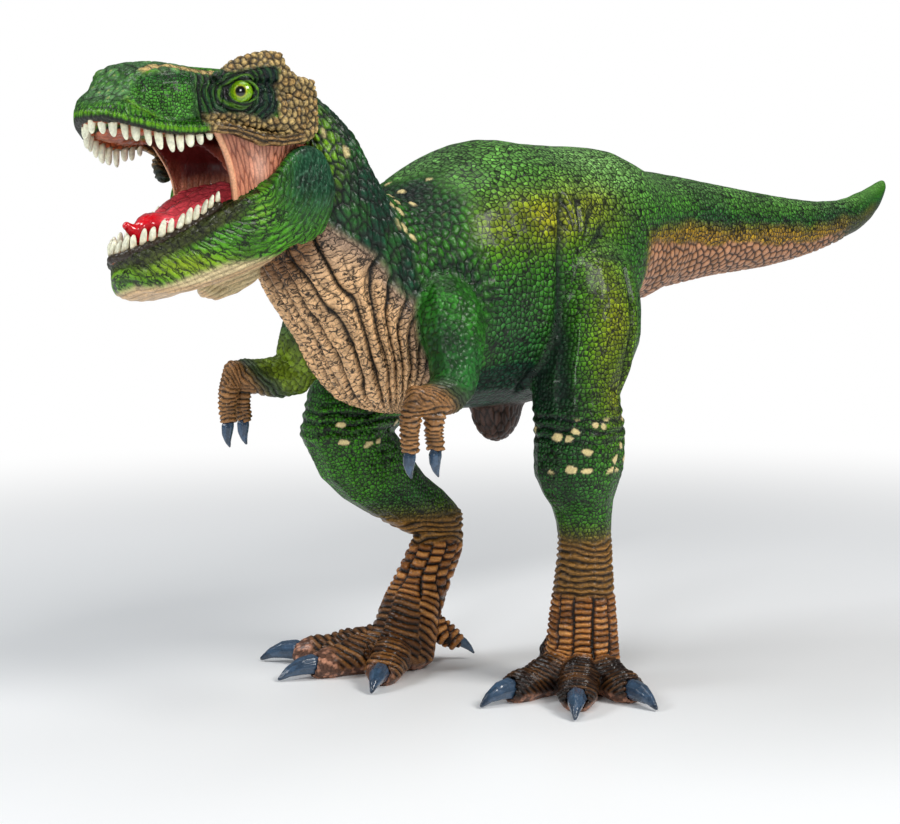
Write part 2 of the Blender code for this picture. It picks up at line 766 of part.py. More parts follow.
def at_shoulder(side, across, along, up):
    hand = 1 if side == "left" else -1
    y, z = at_torso(*SHOULDER_SHARES)
    return Vector((hand * (SHOULDER_SPREAD + across * ARM_REACH), y + along * ARM_REACH,
                   z + up * ARM_DROP))


def arm_loft(side, grow=0.0):
    shares = LEFT_ARM_SHARES if side == "left" else RIGHT_ARM_SHARES
    stations = []
    for across, along, up, half, thick in shares:
        point = at_shoulder(side, across, along, up)
        stations.append((point.x, point.y, point.z, half * ARM_RADIUS, thick * ARM_RADIUS))
    return limb_loft(side + "_arm", stations, Vector((1, 0, 0)), 10, 2, 2.0, 0.8, grow, (45,))


def finger_table(side):
    """Place name, root and heading of each finger of a hand."""
    shares = LEFT_ARM_SHARES if side == "left" else RIGHT_ARM_SHARES
    across, along, up = shares[-1][:3]
    rows = []
    for place, turn in (("front", -1), ("rear", 1)):
        root = at_shoulder(side, across + FINGER_SPREAD_SHARES[0] * turn,
                           along + FINGER_SPREAD_SHARES[1] * turn, up)
        run = Vector((0, FINGER_SPLAY_SHARE * turn - FINGER_FORWARD_SHARE, -1)).normalized()
        rows.append((place, root, run))
    return rows


def finger(root, run):
    stations = []
    for along, bow, half in FINGER_SHARES:
        point = root + run * along * FINGER_LENGTH + Vector((0, -bow * FINGER_LENGTH, 0))
        stations.append((point.x, point.y, point.z, half * FINGER_RADIUS, half * FINGER_RADIUS))
    return limb_loft("finger", stations, Vector((1, 0, 0)), 8, 1, 2.0, 0.8, 0.0, (45,))


def finger_claw(side, row, grow=0.0):
    place, root, run = row
    tip = root + run * FINGER_LENGTH * FINGER_CLAW_ROOT_SHARE
    return claw(side + "_" + place + "_finger_claw", tip, run, Vector((0, 1, 0)),
                FINGER_CLAW_LENGTH, FINGER_CLAW_RADIUS, grow)


def build_arm(side):
    rows = finger_table(side)
    arm = joined(arm_loft(side), [finger(root, run) for place, root, run in rows])
    return without(arm, [finger_claw(side, row, GAP) for row in rows])


def build_torso():
    torso = torso_body()
    cuts = [tail_body(GAP), leg_loft("cut", LEFT_LEG_SHARES, GAP),
            leg_loft("cut", RIGHT_LEG_SHARES, GAP), arm_loft("left", GAP), arm_loft("right", GAP),
            skull_shell(GAP), lining_body(GAP), jaw_shell(GAP)]
    cuts.extend(hinge_sweeps())
    return without(torso, cuts)


def build_pin():
    half = LINING_WIDTH / 2 + PIN_BITE
    return rod("jaw_pin", AXIS, -half, half, PIN_RADIUS, 16)


def dressed(piece, material, parent):
    """Give the piece its finish, smooth faces and its place in the assembly."""
    piece.data.materials.clear()
    piece.data.materials.append(material)
    piece.data.shade_smooth()
    piece.data.set_sharp_from_angle(angle=math.radians(50))
    piece.parent = parent
    return piece


def empty(name, place):
    holder = bpy.data.objects.new(name, None)
    holder.location = place
    holder.empty_display_size = HEAD_WIDTH
    bpy.context.scene.collection.objects.link(holder)
    return holder


def set_origin(piece, place):
    """Move the origin of the piece to a place and leave its surface where it is."""
    for vert in piece.data.vertices:
        vert.co -= place
    piece.location = place


def build_figure():
    clear_scene()
    figure = empty("figure", Vector((0, 0, 0)))
    hinge = empty("jaw_axis", AXIS)
    hinge.parent = figure

    green = finish("painted_green", (0.05, 0.19, 0.04), 0.42)
    brown = finish("painted_brown", (0.26, 0.13, 0.06), 0.45)
    flesh = finish("painted_flesh", (0.62, 0.26, 0.18), 0.42)
    red = finish("glossy_red", (0.62, 0.06, 0.06), 0.25)
    ivory = finish("painted_ivory", (0.82, 0.76, 0.58), 0.35)
    slate = finish("glossy_slate", (0.10, 0.13, 0.18), 0.25)
    lime = finish("glossy_eye", (0.30, 0.55, 0.05), 0.15)
    steel = finish("pin_steel", (0.55, 0.55, 0.56), 0.35, 1.0)

    dressed(build_torso(), green, figure)
    dressed(tail_body(), green, figure)
    dressed(build_skull(), green, figure)
    dressed(build_lining(), flesh, figure)
    dressed(build_teeth("upper"), ivory, figure)
    dressed(build_pin(), steel, figure)
    for side, hand in (("left", 1), ("right", -1)):
        eye = ball(side + "_eye", on_head(EYE_SHARES, hand), [EYE_RADIUS] * 3)
        dressed(eye, lime, figure)
        dressed(build_leg(side), green, figure)
        dressed(build_arm(side), brown, figure)
        for row in toe_table(side):
            dressed(toe_claw(side, row), slate, figure)
        for row in finger_table(side):
            dressed(finger_claw(side, row), slate, figure)
    for piece, material in ((build_jaw(), green), (build_teeth("lower"), ivory),
                            (build_tongue(), red)):
        dressed(piece, material, hinge)
        set_origin(piece, AXIS)
        piece.location = (0, 0, 0)

    bpy.context.view_layer.update()
    low = Vector((math.inf,) * 3)
    high = Vector((-math.inf,) * 3)
    for piece in bpy.context.scene.objects:
        if piece.type != "MESH":
            continue
        for vert in piece.data.vertices:
            place = piece.matrix_world @ vert.co
            low = Vector(map(min, low, place))
            high = Vector(map(max, high, place))
    figure.location = (-(low.x + high.x) / 2, -(low.y + high.y) / 2, -low.z)
    bpy.context.view_layer.update()
    print("size", high - low)
    print("shift", figure.location)
    print("hinge", hinge.matrix_world.translation)


build_figure()
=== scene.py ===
import json
import math

import bmesh
import bpy
import numpy as np
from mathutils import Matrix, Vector, kdtree, noise
from mathutils.bvhtree import BVHTree


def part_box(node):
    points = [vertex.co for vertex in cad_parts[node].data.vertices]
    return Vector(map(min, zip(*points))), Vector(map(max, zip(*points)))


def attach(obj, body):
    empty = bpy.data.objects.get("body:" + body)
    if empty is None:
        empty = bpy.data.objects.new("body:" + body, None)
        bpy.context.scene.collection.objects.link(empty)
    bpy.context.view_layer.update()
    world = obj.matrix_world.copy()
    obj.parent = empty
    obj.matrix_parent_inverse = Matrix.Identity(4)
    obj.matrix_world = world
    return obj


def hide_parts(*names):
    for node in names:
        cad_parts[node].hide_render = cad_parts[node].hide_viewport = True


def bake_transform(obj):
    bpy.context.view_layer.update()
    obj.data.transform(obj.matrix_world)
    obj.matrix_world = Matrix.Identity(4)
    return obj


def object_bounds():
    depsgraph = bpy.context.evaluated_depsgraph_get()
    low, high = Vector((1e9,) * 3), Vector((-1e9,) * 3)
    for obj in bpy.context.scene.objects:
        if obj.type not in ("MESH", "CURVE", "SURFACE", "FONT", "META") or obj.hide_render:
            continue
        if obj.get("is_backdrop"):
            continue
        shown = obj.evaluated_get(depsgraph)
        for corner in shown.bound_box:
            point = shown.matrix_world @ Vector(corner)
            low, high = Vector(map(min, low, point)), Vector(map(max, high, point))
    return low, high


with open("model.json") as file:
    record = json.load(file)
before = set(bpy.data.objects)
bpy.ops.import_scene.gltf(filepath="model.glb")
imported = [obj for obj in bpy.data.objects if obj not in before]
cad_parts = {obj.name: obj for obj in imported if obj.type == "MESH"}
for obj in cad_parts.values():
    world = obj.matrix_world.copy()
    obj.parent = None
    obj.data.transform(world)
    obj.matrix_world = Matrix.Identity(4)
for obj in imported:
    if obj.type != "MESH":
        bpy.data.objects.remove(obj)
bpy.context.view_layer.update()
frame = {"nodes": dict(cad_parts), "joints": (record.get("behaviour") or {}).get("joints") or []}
scene = bpy.context.scene
hinge = np.array(frame["joints"][0]["pos_m"])


# Camera, table and lamps
# A long lens looks at the figure's left side from the front left, a little from above.
# The table is pale card under two large soft lamps, and it fades to white away from the feet.

CAMERA_PLACE = (0.35236, -0.42565, 0.1232)
CAMERA_TURN = 42.4
CAMERA_DIP = 6.6
CAMERA_LENS = 93.484
WHITE_FROM = 0.17
WHITE_AT = 0.42

lens = bpy.data.cameras.new("camera")
lens.sensor_fit = "HORIZONTAL"
lens.sensor_width = 36
lens.lens = CAMERA_LENS
lens.clip_start = 0.01
lens.clip_end = 20
camera = bpy.data.objects.new("camera", lens)
camera.location = CAMERA_PLACE
camera.rotation_euler = (math.radians(90 - CAMERA_DIP), 0, math.radians(CAMERA_TURN))
scene.collection.objects.link(camera)
scene.camera = camera
scene.view_settings.view_transform = "Standard"


def node(tree, kind, **settings):
    """A new node with its settings; an entry that names a socket sets or links that socket."""
    made = tree.nodes.new(kind)
    for key, value in settings.items():
        socket = made.inputs[int(key[1:])] if key[:1] == "i" and key[1:].isdigit() else None
        if socket is None:
            setattr(made, key, value)
        elif isinstance(value, bpy.types.NodeSocket):
            tree.links.new(value, socket)
        else:
            socket.default_value = value
    return made


def lamp(name, place, size, power, colour):
    """A square soft lamp that faces the middle of the figure."""
    light = bpy.data.lights.new(name, "AREA")
    light.shape = "SQUARE"
    light.size = size
    light.energy = power
    light.color = colour
    made = bpy.data.objects.new(name, light)
    made.location = place
    made.rotation_euler = (Vector(place) - Vector((0, 0, 0.07))).to_track_quat("Z", "Y").to_euler()
    scene.collection.objects.link(made)


lamp("right_lamp", (0.62, 0.10, 0.62), 0.30, 4.7, (1.0, 0.98, 0.95))
lamp("left_lamp", (-0.42, -0.62, 0.66), 0.34, 4.0, (0.96, 0.98, 1.0))
lamp("front_lamp", (0.34, -0.62, 0.30), 0.16, 1.4, (1.0, 1.0, 1.0))
lamp("top_lamp", (0.0, 0.0, 0.95), 0.6, 2.2, (1.0, 1.0, 1.0))

sky = bpy.data.worlds.new("studio")
scene.world = sky
sky.use_nodes = True
tree = sky.node_tree
tree.nodes.clear()
path = node(tree, "ShaderNodeLightPath")
room = node(tree, "ShaderNodeBackground", i0=(0.92, 0.96, 1.0, 1), i1=0.16)
white = node(tree, "ShaderNodeBackground", i0=(1, 1, 1, 1), i1=1.0)
pick = node(tree, "ShaderNodeMixShader", i0=path.outputs["Is Camera Ray"],
            i1=room.outputs[0], i2=white.outputs[0])
node(tree, "ShaderNodeOutputWorld", i0=pick.outputs[0])

card = bpy.data.materials.new("pale_card")
card.use_nodes = True
tree = card.node_tree
tree.nodes.clear()
place = node(tree, "ShaderNodeNewGeometry")
reach = node(tree, "ShaderNodeVectorMath", operation="LENGTH", i0=place.outputs["Position"])
fade = node(tree, "ShaderNodeMapRange", interpolation_type="SMOOTHSTEP", i0=reach.outputs["Value"],
            i1=WHITE_FROM, i2=WHITE_AT)
path = node(tree, "ShaderNodeLightPath")
seen = node(tree, "ShaderNodeMath", operation="MULTIPLY", i0=fade.outputs[0],
            i1=path.outputs["Is Camera Ray"])
fibre = node(tree, "ShaderNodeTexNoise", i0=place.outputs["Position"], i2=900.0)
lift = node(tree, "ShaderNodeBump", i0=0.03, i1=0.0002, i3=fibre.outputs[0])
matt = node(tree, "ShaderNodeBsdfPrincipled", i0=(0.90, 0.915, 0.93, 1), i2=0.42,
            i5=lift.outputs[0])
glow = node(tree, "ShaderNodeEmission", i0=(1, 1, 1, 1), i1=1.0)
blend = node(tree, "ShaderNodeMixShader", i0=seen.outputs[0], i1=matt.outputs[0],
             i2=glow.outputs[0])
node(tree, "ShaderNodeOutputMaterial", i0=blend.outputs[0])

mesh = bmesh.new()
bmesh.ops.create_grid(mesh, x_segments=8, y_segments=8, size=4.0)
floor_mesh = bpy.data.meshes.new("floor")
mesh.to_mesh(floor_mesh)
mesh.free()
floor = bpy.data.objects.new("floor", floor_mesh)
floor.data.materials.append(card)
scene.collection.objects.link(floor)
floor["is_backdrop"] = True


# The castings
# The toy is cast in soft vinyl. Torso, tail, legs and arms are welded, so their skin runs on
# from one to the next. A casting's fine surface is drawn here; later sections carve and paint it.

BODY_GRAIN = 0.00036
JOINT_SWELL = 0.00025
THIGH_TOP = 0.084
PLUMP_PASSES = 90
WELD_REACH = 60
WELD_PASSES = 70
SEAM_REACH = 24
CRACK_SPACING = 0.0012
MM = 0.001


def paint(red, green, blue):
    """A colour from a paint chart, in light values."""
    chart = np.array([red, green, blue]) / 255
    return np.where(chart > 0.04045, ((chart + 0.055) / 1.055) ** 2.4, chart / 12.92)


def ease(value, low, high):
    """0 below low, 1 above high, and smooth between."""
    share = np.clip((value - low) / (high - low), 0, 1)
    return share * share * (3 - 2 * share)


def cloud(points, size, seed=0.0):
    """Smooth noise about 0, with lumps of this size."""
    return np.array([noise.noise(p) for p in (points / size + seed).tolist()])


def cad_solid(part, swell=0.0):
    """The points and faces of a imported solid, grown a little."""
    one = bmesh.new()
    one.from_mesh(frame["nodes"][part].data)
    bmesh.ops.remove_doubles(one, verts=one.verts, dist=1e-6)
    one.normal_update()
    places = [(v.co + v.normal * swell)[:] for v in one.verts]
    faces = [[v.index for v in face.verts] for face in one.faces]
    one.free()
    return places, faces


def rope(rows, sides=10):
    """A closed round bar through rows of place and radius, to be melted into a casting."""
    rows = np.array(rows, float)
    middle = rows[:, :3]
    runs = np.gradient(middle, axis=0)
    runs /= np.linalg.norm(runs, axis=1)[:, None]
    first = np.cross(runs, (0.31, 0.17, 0.93))
    first /= np.linalg.norm(first, axis=1)[:, None]
    second = np.cross(runs, first)
    turn = np.linspace(0, math.tau, sides, endpoint=False)
    last = len(rows) - 1
    rings = [(0, -0.87, 0.5), (0, -0.5, 0.87), *((i, 0, 1) for i in range(len(rows))),
             (last, 0.5, 0.87), (last, 0.87, 0.5)]
    places = []
    for i, share, slim in rings:
        radius = rows[i, 3]
        spokes = np.cos(turn)[:, None] * first[i] + np.sin(turn)[:, None] * second[i]
        places.append(middle[i] + runs[i] * share * radius + spokes * slim * radius)
    count = len(places)
    faces = [(sides * i + j, sides * i + (j + 1) % sides, sides * (i + 1) + (j + 1) % sides,
              sides * (i + 1) + j) for i in range(count - 1) for j in range(sides)]
    faces.append(list(range(sides))[::-1])
    faces.append(list(range(sides * (count - 1), sides * count)))
    return np.concatenate(places).tolist(), faces


def faced(points, quads):
    """Which way a surface of squares faces at each of its points."""
    corner = [points[quads[:, i]] for i in range(4)]
    across = np.cross(corner[2] - corner[0], corner[3] - corner[1])
    total = np.stack([sum(np.bincount(quads[:, i], across[:, axis], len(points))
                          for i in range(4)) for axis in range(3)], 1)
    return total / np.maximum(np.linalg.norm(total, axis=1), 1e-12)[:, None]


class Casting:
    """A fine surface over some solids, with a height and a paint colour at each of its points."""

    def __init__(self, name, solids, grain, even, supple=None, supple_passes=0):
        corners = []
        faces = []
        owners = []
        for number, (places, sides) in solids:
            faces.extend([len(corners) + i for i in side] for side in sides)
            owners.extend([number] * len(sides))
            corners.extend(places)
        data = bpy.data.meshes.new(name)
        data.from_pydata(corners, [], faces)
        holder = bpy.data.objects.new(name, data)
        scene.collection.objects.link(holder)
        remesh = holder.modifiers.new("fine", "REMESH")
        remesh.mode = "VOXEL"
        remesh.voxel_size = grain
        self.read(self.applied(holder))
        tree = BVHTree.FromPolygons(corners, faces)
        self.owner = np.array([owners[tree.find_nearest(p)[2]] for p in self.points.tolist()])
        smooth = holder.modifiers.new("even", "SMOOTH")
        smooth.iterations = even
        if supple:
            group = holder.vertex_groups.new(name="supple")
            group.add(np.nonzero(supple(self.owner, self.points))[0].tolist(), 1.0, "REPLACE")
            large = holder.modifiers.new("supple", "SMOOTH")
            large.vertex_group = "supple"
            large.iterations = supple_passes
        self.read(self.applied(holder))
        bpy.data.objects.remove(holder)
        count = len(self.points)
        self.height = np.zeros(count)
        self.colour = np.zeros((count, 3))
        self.gloss = np.full(count, 0.5)
        self.scaly = np.zeros(count)
        self.flow = self.points / CRACK_SPACING
        self.lined = np.zeros(count)

    def applied(self, holder):
        """The holder's mesh with its modifiers applied."""
        graph = bpy.context.evaluated_depsgraph_get()
        data = bpy.data.meshes.new_from_object(holder.evaluated_get(graph))
        holder.modifiers.clear()
        holder.data = data
        return data

    def read(self, data):
        """Take over a mesh's points, the way each faces, its edges and its squares."""
        def fetch(source, name, width, kind=float):
            values = np.empty(len(source) * width, kind)
            source.foreach_get(name, values)
            return values.reshape(-1, width)
        self.points = fetch(data.vertices, "co", 3)
        self.normals = fetch(data.vertex_normals, "vector", 3)
        self.edges = fetch(data.edges, "vertices", 2, np.int64)
        self.quads = fetch(data.polygons, "vertices", 4, np.int64)

    def spread(self, values, passes):
        """Values at the points, evened out over their neighbours."""
        near, far = self.edges.T
        count = len(self.points)
        degree = np.bincount(self.edges.ravel(), minlength=count)
        for _ in range(passes):
            total = np.bincount(near, values[far], count) + np.bincount(far, values[near], count)
            values = 0.5 * values + 0.5 * total / degree
        return values

    def melt(self, where, passes):
        """Round off the surface where it says, as the welds between castings are."""
        where = np.clip(where, 0, 1)[:, None]
        for _ in range(passes):
            evened = np.stack([self.spread(values, 1) for values in self.points.T], 1)
            self.points = self.points + where * (evened - self.points)
        self.normals = faced(self.points, self.quads)

    def stain(self, where, colour):
        """Brush a paint over what is there, as thickly as where says."""
        self.colour += np.clip(where, 0, 1)[:, None] * (colour - self.colour)

    def wash(self, where, colour):
        """Brush on a thin dark paint, which dries dull."""
        where = np.clip(where, 0, 1)
        self.gloss += where * (0.9 - self.gloss)
        self.stain(where, colour)

    def lay(self, where, height, colour, gloss=0.5, scaly=0.0, lined=0.0):
        """Put a height and a paint on the surface, as fully as where says."""
        where = np.clip(where, 0, 1)
        self.height += where * (height - self.height)
        self.gloss += where * (gloss - self.gloss)
        self.scaly += where * (scaly - self.scaly)
        self.lined += where * (lined - self.lined)
        self.stain(where, colour)

    def crack(self, where, flow, amount=1.0):
        """Cut a net of fine cracks; flow counts its meshes across and along."""
        where = np.clip(where, 0, 1)
        chosen = where > 0.03
        self.flow[chosen] = flow[chosen]
        self.lined += where * (amount - self.lined)


def scatter(points, spacing, seed):
    """Which points to keep so that they lie their own spacing apart, in no order."""
    cell = spacing.max()
    order = np.random.default_rng(seed).permutation(len(points))
    keys = np.floor(points / cell).astype(int).tolist()
    places = points.tolist()
    spans = (spacing ** 2).tolist()
    around = [(i, j, k) for i in (-1, 0, 1) for j in (-1, 0, 1) for k in (-1, 0, 1)]
    taken = {}
    kept = []
    for index in order.tolist():
        i, j, k = keys[index]
        x, y, z = places[index]
        span = spans[index]
        free = True
        for di, dj, dk in around:
            for px, py, pz in taken.get((i + di, j + dj, k + dk), ()):
                if (px - x) ** 2 + (py - y) ** 2 + (pz - z) ** 2 < span:
                    free = False
                    break
            if not free:
                break
        if free:
            taken.setdefault((i, j, k), []).append((x, y, z))
            kept.append(index)
    return kept


class Scales:
    """Scales on a surface: how far each point is from its own scale's rim, and which it is.

    They are laid only on the points that where covers, because finding them takes long.
    """

    def __init__(self, points, spacing, seed, where=None):
        count = len(points)
        chosen = np.arange(count) if where is None else np.nonzero(where > 0.002)[0]
        spacing = np.broadcast_to(spacing, count)[chosen]
        points = points[chosen]
        step = max(1, len(points) // 120000)
        some = np.arange(0, len(points), step)
        kept = some[scatter(points[some], spacing[some], seed)]
        tree = kdtree.KDTree(len(kept))
        for number, index in enumerate(kept.tolist()):
            tree.insert(points[index], number)
        tree.balance()
        found = [tree.find_n(p, 2) for p in points.tolist()]
        number = np.array([pair[0][1] for pair in found])
        first = np.array([pair[0][2] for pair in found])
        second = np.array([pair[1][2] for pair in found])
        self.rim = np.ones(count)
        self.rim[chosen] = (second - first) / spacing
        self.dome = 1 - (1 - np.clip(self.rim / 0.75, 0, 1)) ** 2
        self.tone = np.full(count, 0.5)
        self.tone[chosen] = np.random.default_rng(seed + 1).random(len(kept))[number]

    def gap(self, low, high):
        """1 in the gaps between the scales, down to 0 on the scales."""
        return 1 - ease(self.rim, low, high)


def stretched(points, run, length):
    """Places squeezed along one way, so that scales laid on them come out long that way."""
    run = np.array(run, float) / np.linalg.norm(run)
    along = points @ run
    return points + np.outer(along * (1 / length - 1), run)


def lit(scales, low=0.72, high=1.25):
    """Each scale a little lighter or darker than the next."""
    return (low + (high - low) * scales.tone)[:, None]


WELDED = ("torso", "tail", "left_leg", "right_leg", "left_arm", "right_arm")
TRUNK = (0, 1)
LEGS = (2, 3)
LIMBS = (2, 3, 4, 5)


def plump(owner, points):
    """Trunk, tail and the tops of the thighs, which are rounded more than the rest."""
    return np.isin(owner, TRUNK) | np.isin(owner, LEGS) & (points[:, 2] > THIGH_TOP)


body = Casting("body", [(i, cad_solid(part, JOINT_SWELL)) for i, part in enumerate(WELDED)],
               BODY_GRAIN, 8, plump, PLUMP_PASSES)
weld = np.zeros(len(body.points))
for number in LIMBS:
    share = body.spread((body.owner == number).astype(float), WELD_REACH)
    weld = np.maximum(weld, 5 * share * (1 - share))
body.melt(weld, WELD_PASSES)
spot = body.points
facing = body.normals
share_of = [body.spread((body.owner == number).astype(float), SEAM_REACH)
            for number in range(len(WELDED))]
in_torso, in_tail, in_left_leg, in_right_leg, in_left_arm, in_right_arm = share_of
in_leg = in_left_leg + in_right_leg
in_arm = in_left_arm + in_right_arm


# The green hide
# The back, flanks, thighs and tail are moulded all over in small raised scales. The vinyl is
# sprayed green, misted yellow on flank and thigh, and a black wash is wiped off the scales.

GREEN = paint(52, 118, 16)
DEEP_GREEN = paint(12, 56, 36)
PALE_GREEN = paint(130, 178, 100)
YELLOW = paint(150, 144, 6)

x, y, z = spot.T
side = np.abs(x - hinge[0])
mottle = cloud(spot, 0.009, 3.1)
drift = cloud(spot, 0.022, 8.4)


def mist(centre, radii, strength=1.0):
    """Paint sprayed on both sides of the figure, thickest at the centre."""
    away = np.stack([side - centre[0], y - centre[1], z - centre[2]], 1) / np.array(radii)
    return strength * np.exp(-(away ** 2).sum(1) * 1.2)


def blend_in(base, where, colour):
    """The base colour with another laid over it."""
    where = np.clip(where, 0, 1)[:, None]
    return base + where * (colour - base)


def plain(colour):
    """One colour at every point."""
    return colour * np.ones((len(spot), 1))


tone = blend_in(plain(GREEN), 0.5 * ease(-drift, 0.0, 0.5), DEEP_GREEN)
yellow = (mist((0.021, -0.036, 0.106), (0.010, 0.016, 0.0065), 0.85)
          + mist((0.021, -0.014, 0.109), (0.010, 0.013, 0.007), 0.7)
          + mist((0.032, -0.019, 0.086), (0.008, 0.0060, 0.020), 0.75) * in_leg
          + mist((0.031, -0.022, 0.068), (0.007, 0.006, 0.010), 0.55) * in_leg)
tone = blend_in(tone, yellow * (0.8 + 0.5 * mottle), YELLOW)
# every surface that faces up, and the top of the back, is painted paler green: painted light
pale = 0.32 * ease(facing[:, 2], 0.2, 0.95) + mist((0.010, 0.000, 0.117), (0.014, 0.016, 0.008), 0.45)
tone = blend_in(tone, pale, PALE_GREEN)
# darker green: sprayed dark patches on flank and thigh front, and painted shade under the belly and on the
# inner sides of the legs
dark_paint_and_shade = (mist((0.019, -0.038, 0.078), (0.012, 0.013, 0.016), 0.6) * in_torso
        + mist((0.020, -0.031, 0.066), (0.012, 0.0045, 0.022), 0.85) * in_leg
        + 0.7 * ease(side, 0.013, 0.006) * ease(z, 0.100, 0.075) * in_leg
        + 0.9 * ease(facing[:, 2], -0.2, -0.8) * in_torso)
tone = blend_in(tone, dark_paint_and_shade, DEEP_GREEN)
tone = tone * (1 + 0.40 * mottle)[:, None]
body.lay(np.ones(len(spot)), 0.00012 * cloud(spot, 0.004, 1.0), tone, 0.3, 1.0)
body.height += 0.0006 * ease(y, 0.118, 0.130) * in_tail
body.gloss += 0.6 * ease(facing[:, 2], -0.2, -0.8) * in_torso


# Chest and neck folds
# Loose skin hangs in long upright folds from behind the head down to the belly. It is tan at the
# chest, grey towards the throat and dark green on the neck, with black wash in every groove.

FOLD_EDGE = ((0.054, -0.036), (0.062, -0.046), (0.070, -0.055), (0.080, -0.062), (0.090, -0.065),
             (0.098, -0.068), (0.106, -0.069), (0.112, -0.068), (0.118, -0.070), (0.135, -0.078))
TAN_EDGE = ((0.054, -0.037), (0.062, -0.047), (0.070, -0.056), (0.080, -0.063), (0.090, -0.0675),
            (0.100, -0.0765), (0.107, -0.087), (0.112, -0.095), (0.135, -0.120))
FOLD_WAY = (0, 0.50, -1)
FOLDS = 38
FOLD_DEPTH = 0.0014
CREAM_DOT = paint(214, 196, 140)
PEACH = paint(234, 188, 138)
ROSE_GREY = paint(166, 138, 116)
NECK_GREEN = paint(20, 62, 42)
GREY_GREEN = paint(84, 112, 84)
BLACK_WASH = paint(10, 12, 8)
THROAT_TAN = paint(150, 108, 70)
STREAK_GREEN = paint(120, 172, 26)


def ahead_of(edge):
    """How far a point lies in front of an edge given as rows of height and y."""
    heights, places = np.array(edge).T
    return np.interp(z, heights, places) - y


CENTRE_LINE = ((0.054, -0.054), (0.075, -0.057), (0.090, -0.063), (0.107, -0.076), (0.135, -0.090))
folded = ease(ahead_of(FOLD_EDGE) + 0.0025 * mottle, -0.0015, 0.0015) * (1 - in_arm) * (1 - in_leg)
round_it = np.arctan2(x - hinge[0], ahead_of(CENTRE_LINE))
pulled = stretched(spot, FOLD_WAY, 3.0)
upright = np.sign(round_it) * 200 * ease(np.abs(round_it), 0.55, 1.25) * (z - 0.085)
phase = (round_it * FOLDS / math.tau - upright + 1.05 * cloud(pulled, 0.0100, 12.0)
         + 0.30 * cloud(pulled, 0.003, 2.0))
fold = np.abs(np.sin(math.pi * phase)) ** 0.75
pleat = np.abs(np.sin(math.pi * (2.37 * phase + 0.6 * cloud(pulled, 0.004, 22.0))))
cracks = Scales(stretched(spot, (1, 0, 0.15), 1.9), 0.00135, 13, where=folded)
tan_by = ahead_of(TAN_EDGE) + 0.002 * mottle
down_it = spot @ (np.array(FOLD_WAY) / np.linalg.norm(FOLD_WAY))
skin = blend_in(plain(NECK_GREEN), ease(tan_by, -0.008, -0.001), GREY_GREEN)
skin = blend_in(skin, ease(tan_by, -0.002, 0.0035), ROSE_GREY)
skin = blend_in(skin, ease(tan_by, 0.002, 0.008) * ease(z, 0.106, 0.092), PEACH)
skin = blend_in(skin, ease(y, -0.088, -0.092) * ease(z, 0.109, 0.104), THROAT_TAN)
# each fold is painted darker in its trough and a little lighter on its crest: painted shade and light
skin = skin * (0.45 + 0.65 * ease(fold + 0.25 * pleat, 0.15, 1.15))[:, None] * lit(cracks, 0.85, 1.12)
height = FOLD_DEPTH * (fold + 0.30 * pleat - 0.7) + 0.00018 * (cracks.dome - 0.5)
body.lay(folded, height, skin, 0.34)
body.wash(folded * 0.97 * ease(fold, 0.52, 0.2), BLACK_WASH)
body.wash(folded * 0.75 * ease(pleat, 0.26, 0.08) * ease(cloud(spot, 0.007, 31.0), -0.25, 0.1), BLACK_WASH)
body.crack(folded, np.stack([phase * 1.35, down_it / 0.00125, 0 * phase], 1), 1.0)

# the neck is dark green, lumpy and wrinkled lengthwise, with one bright streak behind the jaw
on_neck = folded * ease(tan_by, 0.0035, -0.001) * ease(z, 0.084, 0.092)
wrung = spot + 0.0009 * np.stack([cloud(spot, 0.004, 42.0), cloud(spot, 0.004, 43.0), 0 * z], 1)
lumps = Scales(stretched(wrung, (0, 0.42, -1), 2.0), 0.00125, 14, where=on_neck)
skin = blend_in(NECK_GREEN * lit(lumps, 0.5, 1.6), 0.35 * ease(cloud(spot, 0.008, 41.0), 0.0, 0.35), GREEN)
streak = mist((0.0115, -0.0890, 0.1225), (0.0055, 0.0045, 0.010), 1.0) * ease(lumps.rim, 0.1, 0.5)
skin = blend_in(skin, streak, STREAK_GREEN)
# each lump is painted darker towards its rim: painted shade
skin = skin * (0.45 + 0.7 * ease(lumps.rim, 0.08, 0.8))[:, None]
body.lay(on_neck, 0.00042 * (lumps.dome - 0.6) + 0.00060 * (fold - 0.7), skin, 0.2)
body.wash(on_neck * 0.7 * ease(fold, 0.36, 0.12), BLACK_WASH)
body.wash(on_neck * 0.9 * lumps.gap(0.03, 0.26), BLACK_WASH)
body.crack(on_neck, stretched(spot, (0, 0.42, -1), 2.0) / 0.0016, 0.45)
for place in ((0.0102, -0.0905, 0.1285), (0.0112, -0.0885, 0.1255), (0.0125, -0.0835, 0.1215)):
    spread_out = np.linalg.norm((np.stack([side, y, z], 1) - place) / (1, 1, 1.5), axis=1)
    body.stain(folded * 0.9 * ease(spread_out, 0.0012, 0.0008), CREAM_DOT)


# Shoulder
# Between neck and ribs the hide is warty: large uneven lumps, bright green on top, with black
# between them, a dark patch at the neck's root and a few cream dots on it.

WART = 0.00150
WART_GREEN = paint(48, 118, 22)
NAPE_DARK = paint(12, 34, 28)
warty = ease(y + 0.004 * mottle, -0.046, -0.054) * ease(z, 0.070, 0.080) * (1 - folded) * in_torso
warts = Scales(stretched(spot, (0, 0.3, -1), 1.5), WART, 15, where=warty)
skin = blend_in(plain(WART_GREEN), 0.6 * ease(-mottle, -0.1, 0.4), DEEP_GREEN)
skin = blend_in(skin, mist((0.005, -0.058, 0.112), (0.009, 0.009, 0.005), 1.0), NAPE_DARK)
